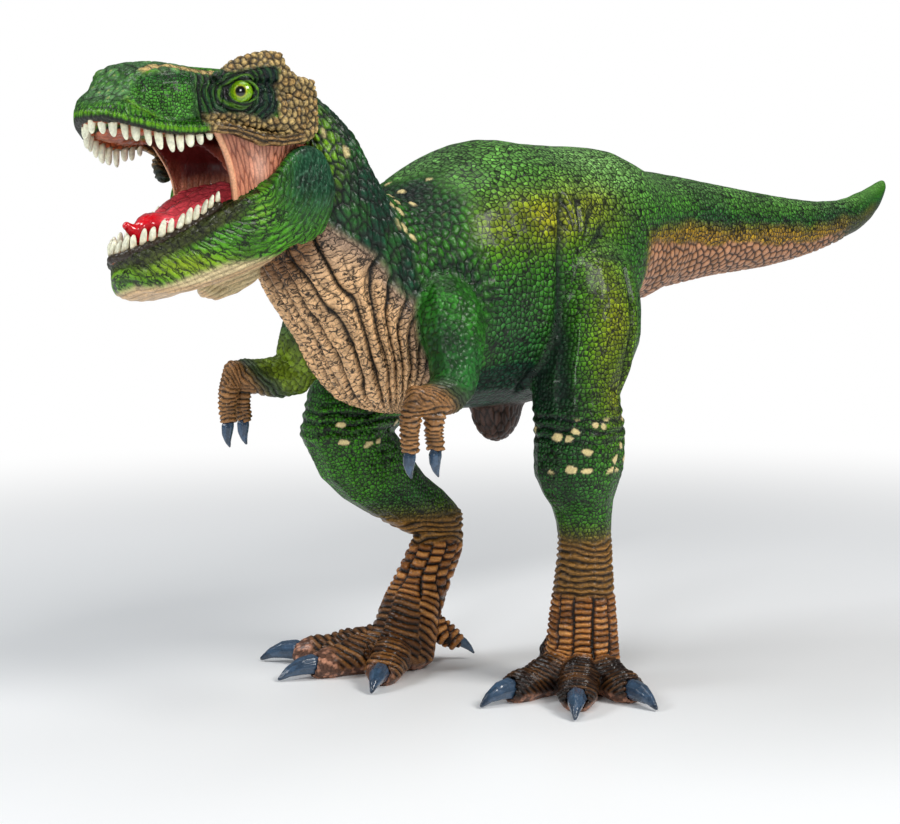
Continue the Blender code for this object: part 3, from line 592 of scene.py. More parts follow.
# each wart is painted darker towards its rim: painted shade
skin = skin * (0.4 + 0.8 * ease(warts.rim, 0.1, 0.9))[:, None] * lit(warts, 0.75, 1.25)
body.lay(warty, 0.00055 * (warts.dome - 0.6), skin, 0.2)
body.wash(warty * 0.95 * warts.gap(0.03, 0.26), BLACK_WASH)
body.crack(warty, stretched(spot, (0, 0.3, -1), 1.6) / 0.0019, 0.45)
dotted = (mist((0.006, -0.060, 0.111), (0.008, 0.012, 0.006), 1.2)
          + mist((0.013, -0.064, 0.105), (0.005, 0.005, 0.007)))
body.stain((warts.tone > 0.86) * ease(dotted, 0.2, 0.4) * ease(warts.rim, 0.25, 0.5), CREAM_DOT)


# Hip crease and belly bump
# A deep groove parts the thigh from the flank, with short creases fanned round its top. Behind
# it a seam of small scales runs down the thigh, and a brown leathery bump hangs under the belly.

CREASE = ((0.1125, -0.0240), (0.1050, -0.0275), (0.0970, -0.0293), (0.0880, -0.0294),
          (0.0800, -0.0302), (0.0740, -0.0315), (0.0660, -0.0325))
THIGH_SEAM = ((0.112, -0.006), (0.100, -0.0105), (0.085, -0.0135), (0.070, -0.0165), (0.060, -0.018))
FAN_PLACE = (-0.024, 0.099)
RIGHT_LEG_LEAD = 0.0135
HIP_BLACK = paint(6, 24, 26)
GROOVE_GREEN = paint(8, 32, 26)
BUMP_BROWN = paint(74, 52, 44)

own_y = y + RIGHT_LEG_LEAD * (x < hinge[0])
heights, places = np.array(CREASE[::-1]).T
from_crease = own_y - np.interp(z, heights, places)
near_hip = ease(side, 0.013, 0.016) * ease(z, 0.062, 0.068) * ease(z, 0.1135, 0.109)
groove = near_hip * np.exp(-(from_crease / 0.0013) ** 2)
body.height -= 0.0011 * groove
body.wash(0.9 * near_hip * np.exp(-(from_crease / 0.0012) ** 2), GROOVE_GREEN)
body.scaly *= 1 - 0.3 * groove
angle = np.arctan2(z - FAN_PLACE[1], own_y - FAN_PLACE[0])
reach = np.hypot(z - FAN_PLACE[1], own_y - FAN_PLACE[0])
fan = ease(reach, 0.0035, 0.006) * ease(reach, 0.0165, 0.011) * ease(side, 0.012, 0.015)
fan = fan * ease(z, 0.094, 0.099) * ease(own_y, -0.030, -0.026)
pleat = np.sin(angle * 15 + 2.2 * cloud(spot, 0.006, 5.0))
body.height += fan * 0.00035 * pleat
body.wash(0.85 * fan * ease(pleat, -0.2, -0.85), HIP_BLACK)
heights, places = np.array(THIGH_SEAM[::-1]).T
from_seam = own_y - np.interp(z, heights, places)
seam_line = in_leg * ease(side, 0.024, 0.028) * ease(z, 0.058, 0.066)
body.height += seam_line * 0.0005 * (np.exp(-((from_seam - 0.0012) / 0.0011) ** 2)
                                     - 1.2 * np.exp(-((from_seam + 0.0006) / 0.0006) ** 2))
body.wash(0.8 * seam_line * np.exp(-((from_seam + 0.0006) / 0.0006) ** 2), HIP_BLACK)
body.stain(0.5 * seam_line * ease(from_seam, 0.0025, 0.005), DEEP_GREEN)

bump = in_torso * ease(z, 0.0655, 0.0635) * ease(side, 0.0115, 0.0095) * ease(y, -0.034, -0.031)
leather = Scales(stretched(spot, (0, 0.2, -1), 3.0), 0.0011, 17, where=bump)
body.lay(bump, 0.0003 * (leather.dome - 0.5), BUMP_BROWN * lit(leather, 0.6, 1.4), 0.4)
body.stain(bump * 0.85 * leather.gap(0.04, 0.35), BLACK_WASH)


# Knees, shins and feet
# Under each knee the hide gives way to horn: cross wrinkles, then three columns of broad
# orange-brown plates down the front of the shin, and narrow rings over the spreading toes.

PLATE_WIDTH = 4.8
LEFT_TURN = 38
RIGHT_TURN = -48
ORANGE = paint(166, 92, 24)
LIGHT_ORANGE = paint(224, 160, 92)
UMBER = paint(34, 18, 12)
OLIVE_BROWN = paint(98, 84, 30)
FLESH = paint(196, 140, 112)
HORN_BROWN = paint(132, 92, 38)
HORN_TAN = paint(178, 130, 66)
SHIN_SHARES = (("left", in_left_leg, LEFT_TURN, 0.0340, 0.0215, 0.65),
               ("right", in_right_leg, RIGHT_TURN, 0.0350, 0.0285, 0.46))

for name, mine, heading, horn_top, plate_top, rows_per_mm in SHIN_SHARES:
    own = mine > 0.5
    steps = np.arange(0.014, 0.070, 0.002)
    axis = [spot[own & (np.abs(z - level) < 0.0015)].mean(0)[:2] for level in steps]
    axis_x = np.interp(z, steps, [place[0] for place in axis])
    axis_y = np.interp(z, steps, [place[1] for place in axis])
    ankle = ease(z, 0.026, 0.016)
    axis_x += ankle * (axis[4][0] - axis_x)
    axis_y += ankle * (axis[4][1] - axis_y)
    from_axis = np.hypot(x - axis_x, y - axis_y) / MM
    turn = np.arctan2(x - axis_x, -(y - axis_y)) - math.radians(heading)
    turn = (turn + math.pi) % math.tau - math.pi
    rough = cloud(spot, 0.0045, 6.0)
    fine = cloud(spot, 0.0016, 7.0)
    level = z / MM

    # fine cross wrinkles round the knee, with cream spots on it
    knee = mine * ease(level, 46, 50) * ease(level, 67, 62)
    ring = np.sin(level * 2.6 + 2.8 * rough + 1.2 * np.sin(turn * 2))
    cut = knee * (0.25 + 0.75 * ease(level, 56, 59))
    body.height += cut * 0.00026 * ring
    body.stain(cut * 0.85 * ease(ring, -0.25, -0.9), HIP_BLACK)
    spots = Scales(stretched(spot, (0.7, 0.7, 0.1), 1.5), 0.0016, 19, where=knee)
    few = 0.76 if name == "left" else 0.93
    chosen = knee * (spots.tone > few) * ease(level, 50, 51) * ease(level, 63, 62)
    body.lay(chosen * ease(spots.rim, 0.16, 0.28), 0.00015 * spots.dome, HIP_BLACK, 0.3)
    body.stain(chosen * ease(spots.rim, 0.32, 0.48), CREAM_DOT)

    # the shin turns from green through olive to horn brown
    shin = mine * ease(level, horn_top / MM + 6, horn_top / MM)
    body.stain(shin * 0.9, OLIVE_BROWN)
    wrinkle = np.sin(level * 4.2 + 5.0 * rough + 1.3 * np.sin(turn * 2.3 + level * 0.2))
    horn = mine * ease(level, horn_top / MM + 2.5, horn_top / MM - 1.5)
    colour = blend_in(plain(HORN_BROWN), 0.6 * ease(wrinkle, 0, 0.9), HORN_TAN)
    # each wrinkle is painted darker in its trough: painted shade
    colour = colour * (0.72 + 0.28 * ease(wrinkle, -0.6, 0.6))[:, None]
    body.lay(horn, 0.0003 * wrinkle + 0.00008 * fine, colour, 0.2)
    body.wash(horn * 0.9 * ease(wrinkle, -0.2, -0.8), BLACK_WASH)
    body.crack(horn, np.stack([turn * 2.0, level / 1.0, 0 * turn], 1), 0.6)

    # plates down the shin run on as rings over the toes
    path = from_axis - level
    toe_rows = 0.62 if name == "left" else 0.46
    row = np.interp(path, (-60, -6, 60), (-54 * rows_per_mm, 0.0, 66 * toe_rows)) + 0.35 * rough
    column = turn * 8.2 / PLATE_WIDTH + 0.16 * rough + 0.5
    staggered = row + 0.5 * (np.floor(column) % 2)
    from_joint = np.abs(column - np.round(column)) * PLATE_WIDTH
    from_gap = np.abs(staggered - np.floor(staggered) - 0.5)
    from_gap = (0.5 - from_gap) * 2.1
    on_toe = ease(from_axis, 8.5, 11.5)
    from_joint = from_joint + on_toe * 3.0
    plate = np.minimum(from_joint * 0.9, from_gap)
    dome = 1 - (1 - np.clip(plate / 0.8, 0, 1)) ** 2
    plates = mine * ease(level + 1.2 * rough, plate_top / MM + 0.8, plate_top / MM - 0.8)
    tone = np.random.default_rng(23).random(4096)
    each = tone[(np.floor(staggered).astype(int) * 37 + np.floor(column).astype(int) * 11) % 4096]
    dark = 0.60 if name == "left" else 0.42
    colour = blend_in(plain(ORANGE), 0.9 * ease(plate, 0.3, 0.75) * (0.3 + 0.7 * each), LIGHT_ORANGE)
    # the toes are umber, and each plate is painted umber towards its edges: painted shade
    colour = blend_in(colour, on_toe * dark * (1.5 + 0.4 * rough) + (1 - dome) * 0.7, UMBER)
    colour = colour * (0.5 + 0.6 * each)[:, None]
    body.lay(plates, 0.00090 * (dome - 0.55) * (1 - 0.2 * on_toe) + 0.00010 * fine, colour, 0.05)
    body.stain(plates * 0.97 * (1 - ease(plate, 0.16, 0.50)), BLACK_WASH)
    body.crack(plates, stretched(spot, (0, 0, 1), 0.5) / 0.0016, 0.35)

    # flesh coloured pads and toe ends, speckled with brown
    sole = mine * ease(level + 0.8 * rough, 2.6, 1.2)
    sole = np.maximum(sole, mine * ease(from_axis, 26.5, 28.5) * ease(level, 8.5, 6.5))
    speck = Scales(spot, 0.0008, 29, where=sole)
    colour = blend_in(FLESH * lit(speck, 0.7, 1.1), 0.8 * (speck.tone > 0.45), UMBER)
    body.lay(sole, 0.00015 * (speck.dome - 0.5), colour, 0.3)
    body.stain(sole * 0.7 * speck.gap(0.05, 0.35), UMBER)


# Arms
# Each arm is scaled green at the shoulder and smooth along the forearm; wrist and fingers are
# tan with black rings.

ARM_GREEN = paint(40, 112, 24)
FOREARM_GREEN = paint(28, 86, 30)
ARM_TEAL = paint(18, 62, 50)
FOREARM_OLIVE = paint(104, 128, 30)
WRIST_GREEN = paint(70, 92, 58)
ARM_SHARES = (("left", in_left_arm, 14.5, 26.0, 29.0, ARM_GREEN, FOREARM_GREEN),
              ("right", in_right_arm, 17.0, 27.5, 30.5, ARM_TEAL, FOREARM_OLIVE))
SHOULDER_PLACE = (0.020, -0.054, 0.090)
ARMPIT = (-0.059, 0.088)
FINGER_TAN = paint(178, 128, 78)

for name, mine, forearm_at, wrist_at, finger_at, high_green, low_green in ARM_SHARES:
    along = np.sqrt((side - SHOULDER_PLACE[0]) ** 2 + (y - SHOULDER_PLACE[1]) ** 2
                    + (z - SHOULDER_PLACE[2]) ** 2) / MM
    scales = Scales(spot, 0.00115, 31, where=mine)
    colour = blend_in(high_green * lit(scales, 0.5, 1.5), ease(along, forearm_at - 3, forearm_at + 2),
                      low_green * lit(scales, 0.5, 1.5))
    smooth = ease(along, forearm_at, forearm_at + 5) * (0.4 if name == "left" else 0.2)
    colour = colour * (1 + 0.45 * mottle)[:, None]
    body.lay(mine, 0.00034 * (scales.dome - 0.5) * (1 - smooth), colour, 0.26)
    body.wash(mine * 0.85 * (1 - 0.45 * smooth) * scales.gap(0.03, 0.24), BLACK_WASH)
    body.crack(mine, stretched(spot, (0, -0.6, -0.8), 2.5) / 0.0013, 0.30)
    crease = np.sin(along * 6.2 + 6.5 * cloud(spot, 0.0045, 9.0) + 2.0 * cloud(spot, 0.0018, 19.0))
    wrist = mine * ease(along, wrist_at - 3, wrist_at)
    skin = blend_in(plain(WRIST_GREEN), ease(along, wrist_at, wrist_at + 3.5), FINGER_TAN)
    skin = skin * (0.75 + 0.35 * cloud(spot, 0.003, 27.0))[:, None]
    body.lay(wrist, 0.00018 * crease, skin, 0.3)
    body.wash(wrist * 0.85 * ease(crease, -0.3, -0.85), BLACK_WASH)
    body.crack(wrist, np.stack([along / 0.9, x / 0.0022, y / 0.0022], 1), 0.55)
    finger = mine * ease(along, finger_at - 1, finger_at + 1) * ease(z, 0.0705, 0.0685)
    ring = np.sin(z / MM * 6.4 + 5.2 * cloud(spot, 0.0035, 11.0) + 1.5 * cloud(spot, 0.0013, 21.0))
    # the rings are painted darker in their troughs: painted shade
    body.lay(finger, 0.00026 * ring, skin * (0.72 + 0.35 * ease(ring, -0.5, 0.8))[:, None], 0.2)
    body.stain(finger * 0.95 * ease(ring, -0.10, -0.62), BLACK_WASH)

# black creases fan out behind each shoulder
angle = np.arctan2(z - ARMPIT[1], y - ARMPIT[0])
reach = np.hypot(z - ARMPIT[1], y - ARMPIT[0])
fan = ease(reach, 0.004, 0.008) * ease(reach, 0.017, 0.011) * ease(side, 0.012, 0.016) * in_torso
fan = fan * ease(angle, -0.3, 0.2) * ease(angle, 2.2, 1.7)
pleat = np.sin(angle * 26 + 4.5 * cloud(spot, 0.005, 35.0))
body.height += fan * 0.00030 * pleat
body.wash(0.7 * fan * ease(pleat, -0.25, -0.8), HIP_BLACK)


# Tail
# The tail's flanks keep the green scales; along its middle runs a band of ochre, and its
# underside has rows of squarish salmon-brown scales with a scalloped lower edge.

OCHRE_LINE = ((0.005, 0.1030), (0.055, 0.1020), (0.080, 0.1005), (0.105, 0.1010), (0.118, 0.1015),
              (0.130, 0.1045))
SALMON_LINE = ((0.005, 0.0996), (0.055, 0.0983), (0.080, 0.0972), (0.093, 0.0974), (0.110, 0.0983),
               (0.122, 0.1000))
SALMON_BROWN = paint(176, 126, 92)
OCHRE_BAND = paint(158, 116, 24)
TAIL_TAN = paint(150, 104, 62)
TAIL_WASH = paint(46, 26, 16)
rear = np.clip(in_tail + in_torso * ease(y, 0.004, 0.010), 0, 1) * ease(y, 0.004, 0.012)
places, heights = np.array(OCHRE_LINE).T
below_green = np.interp(y, places, heights) - z + 0.0016 * cloud(spot, 0.008, 13.0)
places, heights = np.array(SALMON_LINE).T
below_ochre = np.interp(y, places, heights) - z + 0.0016 * cloud(spot, 0.007, 14.0)
shaded = rear * np.exp(-((below_green + 0.0012) / 0.0022) ** 2)
body.stain(0.6 * shaded, DEEP_GREEN)
body.stain(0.85 * rear * ease(below_green, -0.0022, 0.0020), OCHRE_BAND)
under = rear * ease(below_ochre, -0.0006, 0.0008) * ease(y, 0.124, 0.116)
rows = Scales(stretched(spot, (0, 1, 0), 1.35), 0.00165, 33, where=under)
colour = blend_in(SALMON_BROWN * lit(rows, 0.75, 1.15), 0.35 * ease(mottle, 0, 0.4), TAIL_TAN)
# each scale is painted darker towards its rim: painted shade
body.lay(under, 0.0004 * (rows.dome - 0.5), colour * (0.35 + 0.8 * ease(rows.rim, 0.1, 0.6))[:, None], 0.34)
body.wash(under * 0.9 * rows.gap(0.05, 0.34), TAIL_WASH)
# the tail's end is painted darker green where it faces down: painted shade
body.stain(rear * 0.85 * ease(y, 0.104, 0.122) * ease(facing[:, 2], 0.3, -0.3), DEEP_GREEN)
body.scaly *= 1 - 0.75 * in_tail * ease(y, 0.118, 0.132)


# Finishing a casting
# Each casting is cut where its mould parted, closed behind, and given the satin varnish that
# covers the whole figure.

SCALES_PER_METRE = 760.0
NECK_ENDS = -0.048
RUMP_STARTS = -0.020


def varnished(name, fine=2600.0, depth=0.00004, gloss=(0.22, 0.60), coat=0.14, cells=SCALES_PER_METRE):
    """Painted vinyl under satin varnish: the paint and its gloss come from the surface itself.

    Where the surface is marked scaly it carries small domed scales with black wash between,
    each painted lighter on its upper side and darker on its lower, as painted light and shade,
    and where it is marked lined, a net of fine black cracks that comes and goes.
    """
    made = bpy.data.materials.new(name)
    made.use_nodes = True
    tree = made.node_tree
    shader = tree.nodes["Principled BSDF"]
    colour = node(tree, "ShaderNodeAttribute", attribute_name="paint")
    dull = node(tree, "ShaderNodeAttribute", attribute_name="dull")
    scaly = node(tree, "ShaderNodeAttribute", attribute_name="scaly")
    lined = node(tree, "ShaderNodeAttribute", attribute_name="lined")
    flow = node(tree, "ShaderNodeAttribute", attribute_name="flow")
    where = node(tree, "ShaderNodeTexCoord")
    grain = node(tree, "ShaderNodeTexNoise", i0=where.outputs["Object"], i2=fine, i3=4.0)
    patch = node(tree, "ShaderNodeTexNoise", i0=where.outputs["Object"], i2=420.0, i3=3.0)
    value = node(tree, "ShaderNodeMapRange", i0=grain.outputs[0], i1=0.3, i2=0.7, i3=0.80, i4=1.18)
    wash = node(tree, "ShaderNodeMapRange", i0=patch.outputs[0], i1=0.3, i2=0.7, i3=0.86, i4=1.14)
    both = node(tree, "ShaderNodeMath", operation="MULTIPLY", i0=value.outputs[0], i1=wash.outputs[0])
    tinted = node(tree, "ShaderNodeVectorMath", operation="SCALE", i0=colour.outputs["Color"],
                  i3=both.outputs[0])

    # scales: the nearest cell's own tone, its distance to the next, and its tilt towards the rear,
    # which paints the upper side of each scale lighter and the lower side darker: painted light and shade
    cell = node(tree, "ShaderNodeTexVoronoi", i0=where.outputs["Object"], i2=cells)
    cell.inputs["Randomness"].default_value = 0.72
    rim = node(tree, "ShaderNodeTexVoronoi", feature="DISTANCE_TO_EDGE", i0=where.outputs["Object"],
               i2=cells)
    rim.inputs["Randomness"].default_value = 0.72
    shade = node(tree, "ShaderNodeSeparateColor", i0=cell.outputs["Color"])
    dome = node(tree, "ShaderNodeMapRange", interpolation_type="SMOOTHSTEP", i0=cell.outputs["Distance"],
                i1=0.04, i2=0.66, i3=1.0, i4=0.0)
    gap = node(tree, "ShaderNodeMapRange", interpolation_type="SMOOTHSTEP", i0=rim.outputs["Distance"],
               i1=0.02, i2=0.17, i3=0.05, i4=1.0)
    own = node(tree, "ShaderNodeMapRange", i0=shade.outputs[0], i3=0.62, i4=1.42)
    away = node(tree, "ShaderNodeVectorMath", operation="SUBTRACT", i0=where.outputs["Object"],
                i1=cell.outputs["Position"])
    tilt = node(tree, "ShaderNodeVectorMath", operation="DOT_PRODUCT", i0=away.outputs[0],
                i1=(0.0, 0.35, -0.94))
    lean = node(tree, "ShaderNodeMath", operation="MULTIPLY_ADD", i0=tilt.outputs["Value"],
                i1=0.35 * cells, i2=dome.outputs[0])
    # painted light and shade: half as light again on each scale's upper side, a third darker on its lower
    # side
    lift = node(tree, "ShaderNodeMapRange", i0=tilt.outputs["Value"], i1=-0.5 / cells, i2=0.5 / cells,
                i3=1.5, i4=0.68)
    shaded = node(tree, "ShaderNodeMath", operation="MULTIPLY", i0=gap.outputs[0], i1=own.outputs[0])
    scale_light_shade = node(tree, "ShaderNodeMath", operation="MULTIPLY", i0=shaded.outputs[0],
                  i1=lift.outputs[0])
    level = node(tree, "ShaderNodeMapRange", i0=scaly.outputs["Fac"], i3=1.0, i4=scale_light_shade.outputs[0])

    # cracks: the rims of stretched cells, wandering, thick and thin
    stray = node(tree, "ShaderNodeTexNoise", i0=where.outputs["Object"], i2=560.0, i3=2.0)
    wander = node(tree, "ShaderNodeVectorMath", operation="MULTIPLY_ADD", i0=stray.outputs["Color"],
                  i1=(1.3, 1.3, 1.3), i2=flow.outputs["Vector"])
    mesh_rim = node(tree, "ShaderNodeTexVoronoi", feature="DISTANCE_TO_EDGE", i0=wander.outputs[0],
                    i2=1.0)
    fine_rim = node(tree, "ShaderNodeTexVoronoi", feature="DISTANCE_TO_EDGE", i0=wander.outputs[0],
                    i2=2.3)
    thick = node(tree, "ShaderNodeMapRange", i0=patch.outputs[0], i1=0.38, i2=0.66, i3=0.05, i4=0.19)
    crack = node(tree, "ShaderNodeMapRange", interpolation_type="SMOOTHSTEP",
                 i0=mesh_rim.outputs["Distance"], i1=0.0, i2=thick.outputs[0], i3=0.03, i4=1.0)
    hair = node(tree, "ShaderNodeMapRange", interpolation_type="SMOOTHSTEP",
                i0=fine_rim.outputs["Distance"], i1=0.0, i2=0.08, i3=0.62, i4=1.0)
    cracks = node(tree, "ShaderNodeMath", operation="MULTIPLY", i0=crack.outputs[0], i1=hair.outputs[0])
    aged = node(tree, "ShaderNodeMapRange", i0=lined.outputs["Fac"], i3=1.0, i4=cracks.outputs[0])
    shade_all = node(tree, "ShaderNodeMath", operation="MULTIPLY", i0=level.outputs[0],
                     i1=aged.outputs[0])
    painted = node(tree, "ShaderNodeVectorMath", operation="SCALE", i0=tinted.outputs[0],
                   i3=shade_all.outputs[0])
    tree.links.new(painted.outputs[0], shader.inputs["Base Color"])
    rough = node(tree, "ShaderNodeMapRange", i0=dull.outputs["Fac"], i1=0.0, i2=1.0,
                 i3=gloss[0], i4=gloss[1])
    uneven = node(tree, "ShaderNodeMath", operation="MULTIPLY_ADD", i0=patch.outputs[0], i1=0.14,
                  i2=rough.outputs[0])
    tree.links.new(uneven.outputs[0], shader.inputs["Roughness"])
    raised = node(tree, "ShaderNodeMath", operation="MULTIPLY", i0=lean.outputs[0],
                  i1=scaly.outputs["Fac"])
    scale_bump = node(tree, "ShaderNodeBump", i0=1.0, i1=0.00056, i3=raised.outputs[0])
    swell = node(tree, "ShaderNodeMapRange", interpolation_type="SMOOTHSTEP",
                 i0=mesh_rim.outputs["Distance"], i1=0.0, i2=0.32)
    torn = node(tree, "ShaderNodeMath", operation="MULTIPLY", i0=swell.outputs[0],
                i1=lined.outputs["Fac"])
    crack_bump = node(tree, "ShaderNodeBump", i0=0.9, i1=0.00026, i3=torn.outputs[0],
                      i4=scale_bump.outputs[0])
    bump = node(tree, "ShaderNodeBump", i0=0.6, i1=depth, i3=grain.outputs[0],
                i4=crack_bump.outputs[0])
    tree.links.new(bump.outputs[0], shader.inputs["Normal"])
    shader.inputs["Coat Weight"].default_value = coat
    shader.inputs["Coat Roughness"].default_value = 0.14
    shader.inputs["Specular IOR Level"].default_value = 0.24
    return made


def mark(data, name, kind, values):
    """Write a value for each point of a mesh, under the name that the varnish reads."""
    entry = {"FLOAT": "value", "FLOAT_COLOR": "color", "FLOAT_VECTOR": "vector"}[kind]
    values = np.ascontiguousarray(values, np.float32)
    data.attributes.new(name, kind, "POINT").data.foreach_set(entry, values.ravel())


def cut_piece(casting, name, chosen, material, on_body, replaced):
    """One casting's own part of the fine surface, closed behind, as a finished piece."""
    quads = casting.quads[chosen]
    used, quads = np.unique(quads, return_inverse=True)
    quads = quads.reshape(-1, 4)
    points = casting.worked[used]
    sides = np.concatenate([quads[:, [i, (i + 1) % 4]] for i in range(4)])
    keys = np.sort(sides, 1)
    keys = keys[:, 0] * len(points) + keys[:, 1]
    found, first, times = np.unique(keys, return_index=True, return_counts=True)
    rim = sides[first[times == 1]]
    follow = dict(zip(rim[:, 0].tolist(), rim[:, 1].tolist()))
    places = points.tolist()
    faces = quads.tolist()
    while follow:
        start, after = follow.popitem()
        loop = [start]
        while after != start and after in follow:
            loop.append(after)
            after = follow.pop(after)
        centre = len(places)
        places.append(points[loop].mean(0).tolist())
        for near, far in zip(loop, loop[1:] + loop[:1]):
            faces.append((far, near, centre))
    data = bpy.data.meshes.new(name)
    data.from_pydata(places, [], faces)
    extra = len(places) - len(used)
    shade = np.concatenate([casting.shade[used], np.tile([[0, 0, 1.0]], (extra, 1))])
    data.shade_smooth()
    data.normals_split_custom_set_from_vertices(shade.tolist())
    colour = np.ones((len(places), 4))
    colour[:len(used), :3] = np.clip(casting.colour[used], 0, 1)
    mark(data, "paint", "FLOAT_COLOR", colour)
    for layer, kind, values in (("dull", "FLOAT", casting.gloss), ("scaly", "FLOAT", casting.scaly),
                                ("lined", "FLOAT", casting.lined),
                                ("flow", "FLOAT_VECTOR", casting.flow)):
        rest = np.zeros((extra, *values.shape[1:]))
        mark(data, layer, kind, np.concatenate([values[used], rest]))
    data.materials.append(material)
    made = bpy.data.objects.new(name, data)
    scene.collection.objects.link(made)
    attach(made, on_body)
    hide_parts(*replaced)
    return made


def raise_surface(casting):
    """Move the surface out by its heights and find how it faces then."""
    casting.worked = casting.points + casting.normals * casting.height[:, None]
    casting.shade = faced(casting.worked, casting.quads)


raise_surface(body)
hide_finish = varnished("hide_varnish")
leg_finish = varnished("leg_varnish", cells=980.0)
owner = np.array([body.owner[body.quads[:, i]] for i in range(4)])
owner = np.median(owner, 0).astype(int)
middle = spot[body.quads].mean(1)
in_neck = (owner == 0) & (middle[:, 1] < NECK_ENDS)
in_rump = (owner == 0) & (middle[:, 1] > RUMP_STARTS)
for name, chosen, nodes in (("torso_skin", (owner == 0) & ~in_neck & ~in_rump, ["torso"]),
                            ("neck_skin", in_neck, ["torso"]),
                            ("rump_skin", in_rump, ["torso"]),
                            ("tail_skin", owner == 1, ["tail"]),
                            ("left_leg_skin", owner == 2, ["left_leg"]),
                            ("right_leg_skin", owner == 3, ["right_leg"]),
                            ("left_arm_skin", owner == 4, ["left_arm"]),
                            ("right_arm_skin", owner == 5, ["right_arm"])):
    finish = leg_finish if "leg" in name else hide_finish
    cut_piece(body, name, chosen, finish, "figure", nodes)


# Skull
# The upper head is one hard casting: a pebbled panel before the eye, a row of tan plates along
# the snout, and tan knobs over the brow and cheek. It is painted green and washed with black.
# Its places are millimetres forward of the jaw's hinge, above it, and out from the middle.

HEAD_GRAIN = 0.00027
LIP_LINE = ((44.0, 16.3, 0, 0.9), (43.2, 15.8, 4.2, 1.0), (41.2, 14.8, 7.0, 1.1),
            (38.4, 13.9, 9.0, 1.2), (35.0, 13.1, 10.2, 1.2), (31.0, 12.7, 11.0, 1.2),
            (27.0, 12.7, 11.6, 1.2), (23.5, 13.2, 12.2, 1.2), (20.0, 12.7, 13.2, 1.2),
            (16.5, 11.7, 14.1, 1.2), (13.0, 10.6, 14.8, 1.3), (8.0, 10.4, 15.2, 1.3),
            (3.0, 11.1, 15.3, 1.4), (-0.5, 12.8, 14.8, 1.4))
CREST_LINE = ((19.6, 24.6, 13.2, 0.8), (17.6, 25.3, 14.0, 1.1), (15.0, 25.9, 14.6, 1.3),
              (11.5, 26.3, 15.2, 1.4), (9.3, 26.2, 15.5, 1.4), (8.6, 24.0, 15.8, 1.2),
              (7.6, 22.4, 16.0, 1.1), (4.0, 21.6, 16.2, 1.2), (1.2, 21.2, 16.0, 1.3),
              (0.6, 19.0, 15.8, 1.2), (0.4, 16.0, 15.8, 1.2), (0.0, 13.6, 15.2, 1.3))
PLATE_ROW = (35.5, 20.0, 9)
EYE_PLACE = (18.0, 19.76, 14.9)
EYE_GAZE = (-0.62, -0.76, 0.06)
EYE_BALL = 2.5
LID_RING = 2.75
PANEL = ((31.5, 19.1), (8.7, 4.3))
LEAN = 0.165
JOWL = ((17.0, 9.6, 14.5, 1.3), (15.4, 7.4, 14.8, 1.9), (13.8, 6.5, 14.6, 1.5))
LIME = paint(122, 190, 26)
LEAF = paint(50, 132, 22)
PINE = paint(16, 66, 34)
BLUE_BLACK = paint(10, 30, 38)
TAN = paint(220, 188, 122)
OCHRE = paint(140, 96, 40)
SOOT = paint(16, 12, 8)
SNOUT_GREY = paint(86, 138, 76)
PANEL_DARK = paint(30, 88, 30)
PANEL_GREEN = paint(72, 140, 44)
LID_GREEN = paint(72, 112, 34)
LID_GREY = paint(70, 92, 80)
CHEEK_BROWN = paint(112, 84, 44)
CHEEK_TAN = paint(184, 146, 92)
PALATE = paint(176, 84, 40)
PALATE_WASH = paint(96, 36, 18)
JOWL_SHADE_GREEN = paint(14, 40, 30)

half_way = hinge[0]


def from_hinge(rows, hand=1):
    """Places in metres, from rows in millimetres forward of the hinge, above it and outwards."""
    rows = np.array(rows, float).reshape(-1, len(np.atleast_2d(rows)[0])) * MM
    return np.stack([half_way + hand * rows[:, 2], hinge[1] - rows[:, 0], hinge[2] + rows[:, 1],
                     *rows[:, 3:].T], 1)


def leaned(places, share=LEAN, rear=8.0, start=8.0):
    """Places with the right side of the mouth let down, because the head is cocked that way."""
    places = np.array(places, float)
    to_left = (places[:, 0] - half_way) / MM
    before = (hinge[1] - places[:, 1]) / MM
    share = share * ease(before, rear, rear + 8) * (1 - 0.45 * ease(before, 36, 43))
    places[:, 2] -= share * np.clip(start - to_left, 0, 24) * MM
    places[:, 1] += 1.1 * share * np.clip(-2 - to_left, 0, 14) * MM
    return places


def lid_ring(hand):
    """The swollen rim of the eyelids, round the way the eye looks."""
    gaze = Vector((-EYE_GAZE[0] * hand, EYE_GAZE[1], EYE_GAZE[2])).normalized()
    across = gaze.cross(Vector((0, 0, 1))).normalized()
    rise = across.cross(gaze)
    centre = Vector(from_hinge(EYE_PLACE, hand)[0]) + gaze * 1.0 * MM
    rows = []
    for i in range(25):
        turn = math.tau * i / 24
        place = centre + (across * math.cos(turn) + rise * math.sin(turn) * 0.92) * LID_RING * MM
        rows.append((*place, 0.75 * MM))
    return rope(rows, 8)


def beads(rows):
    """Rounded plates in a row, each a short bar with a swollen middle."""
    solids = []
    for place, run, radius in rows:
        place = Vector(place)
        solids.append(rope([(*(place + run * s), radius * w) for s, w in
                            ((-1, 0.55), (-0.5, 0.95), (0.5, 0.95), (1, 0.55))], 8))
    return solids


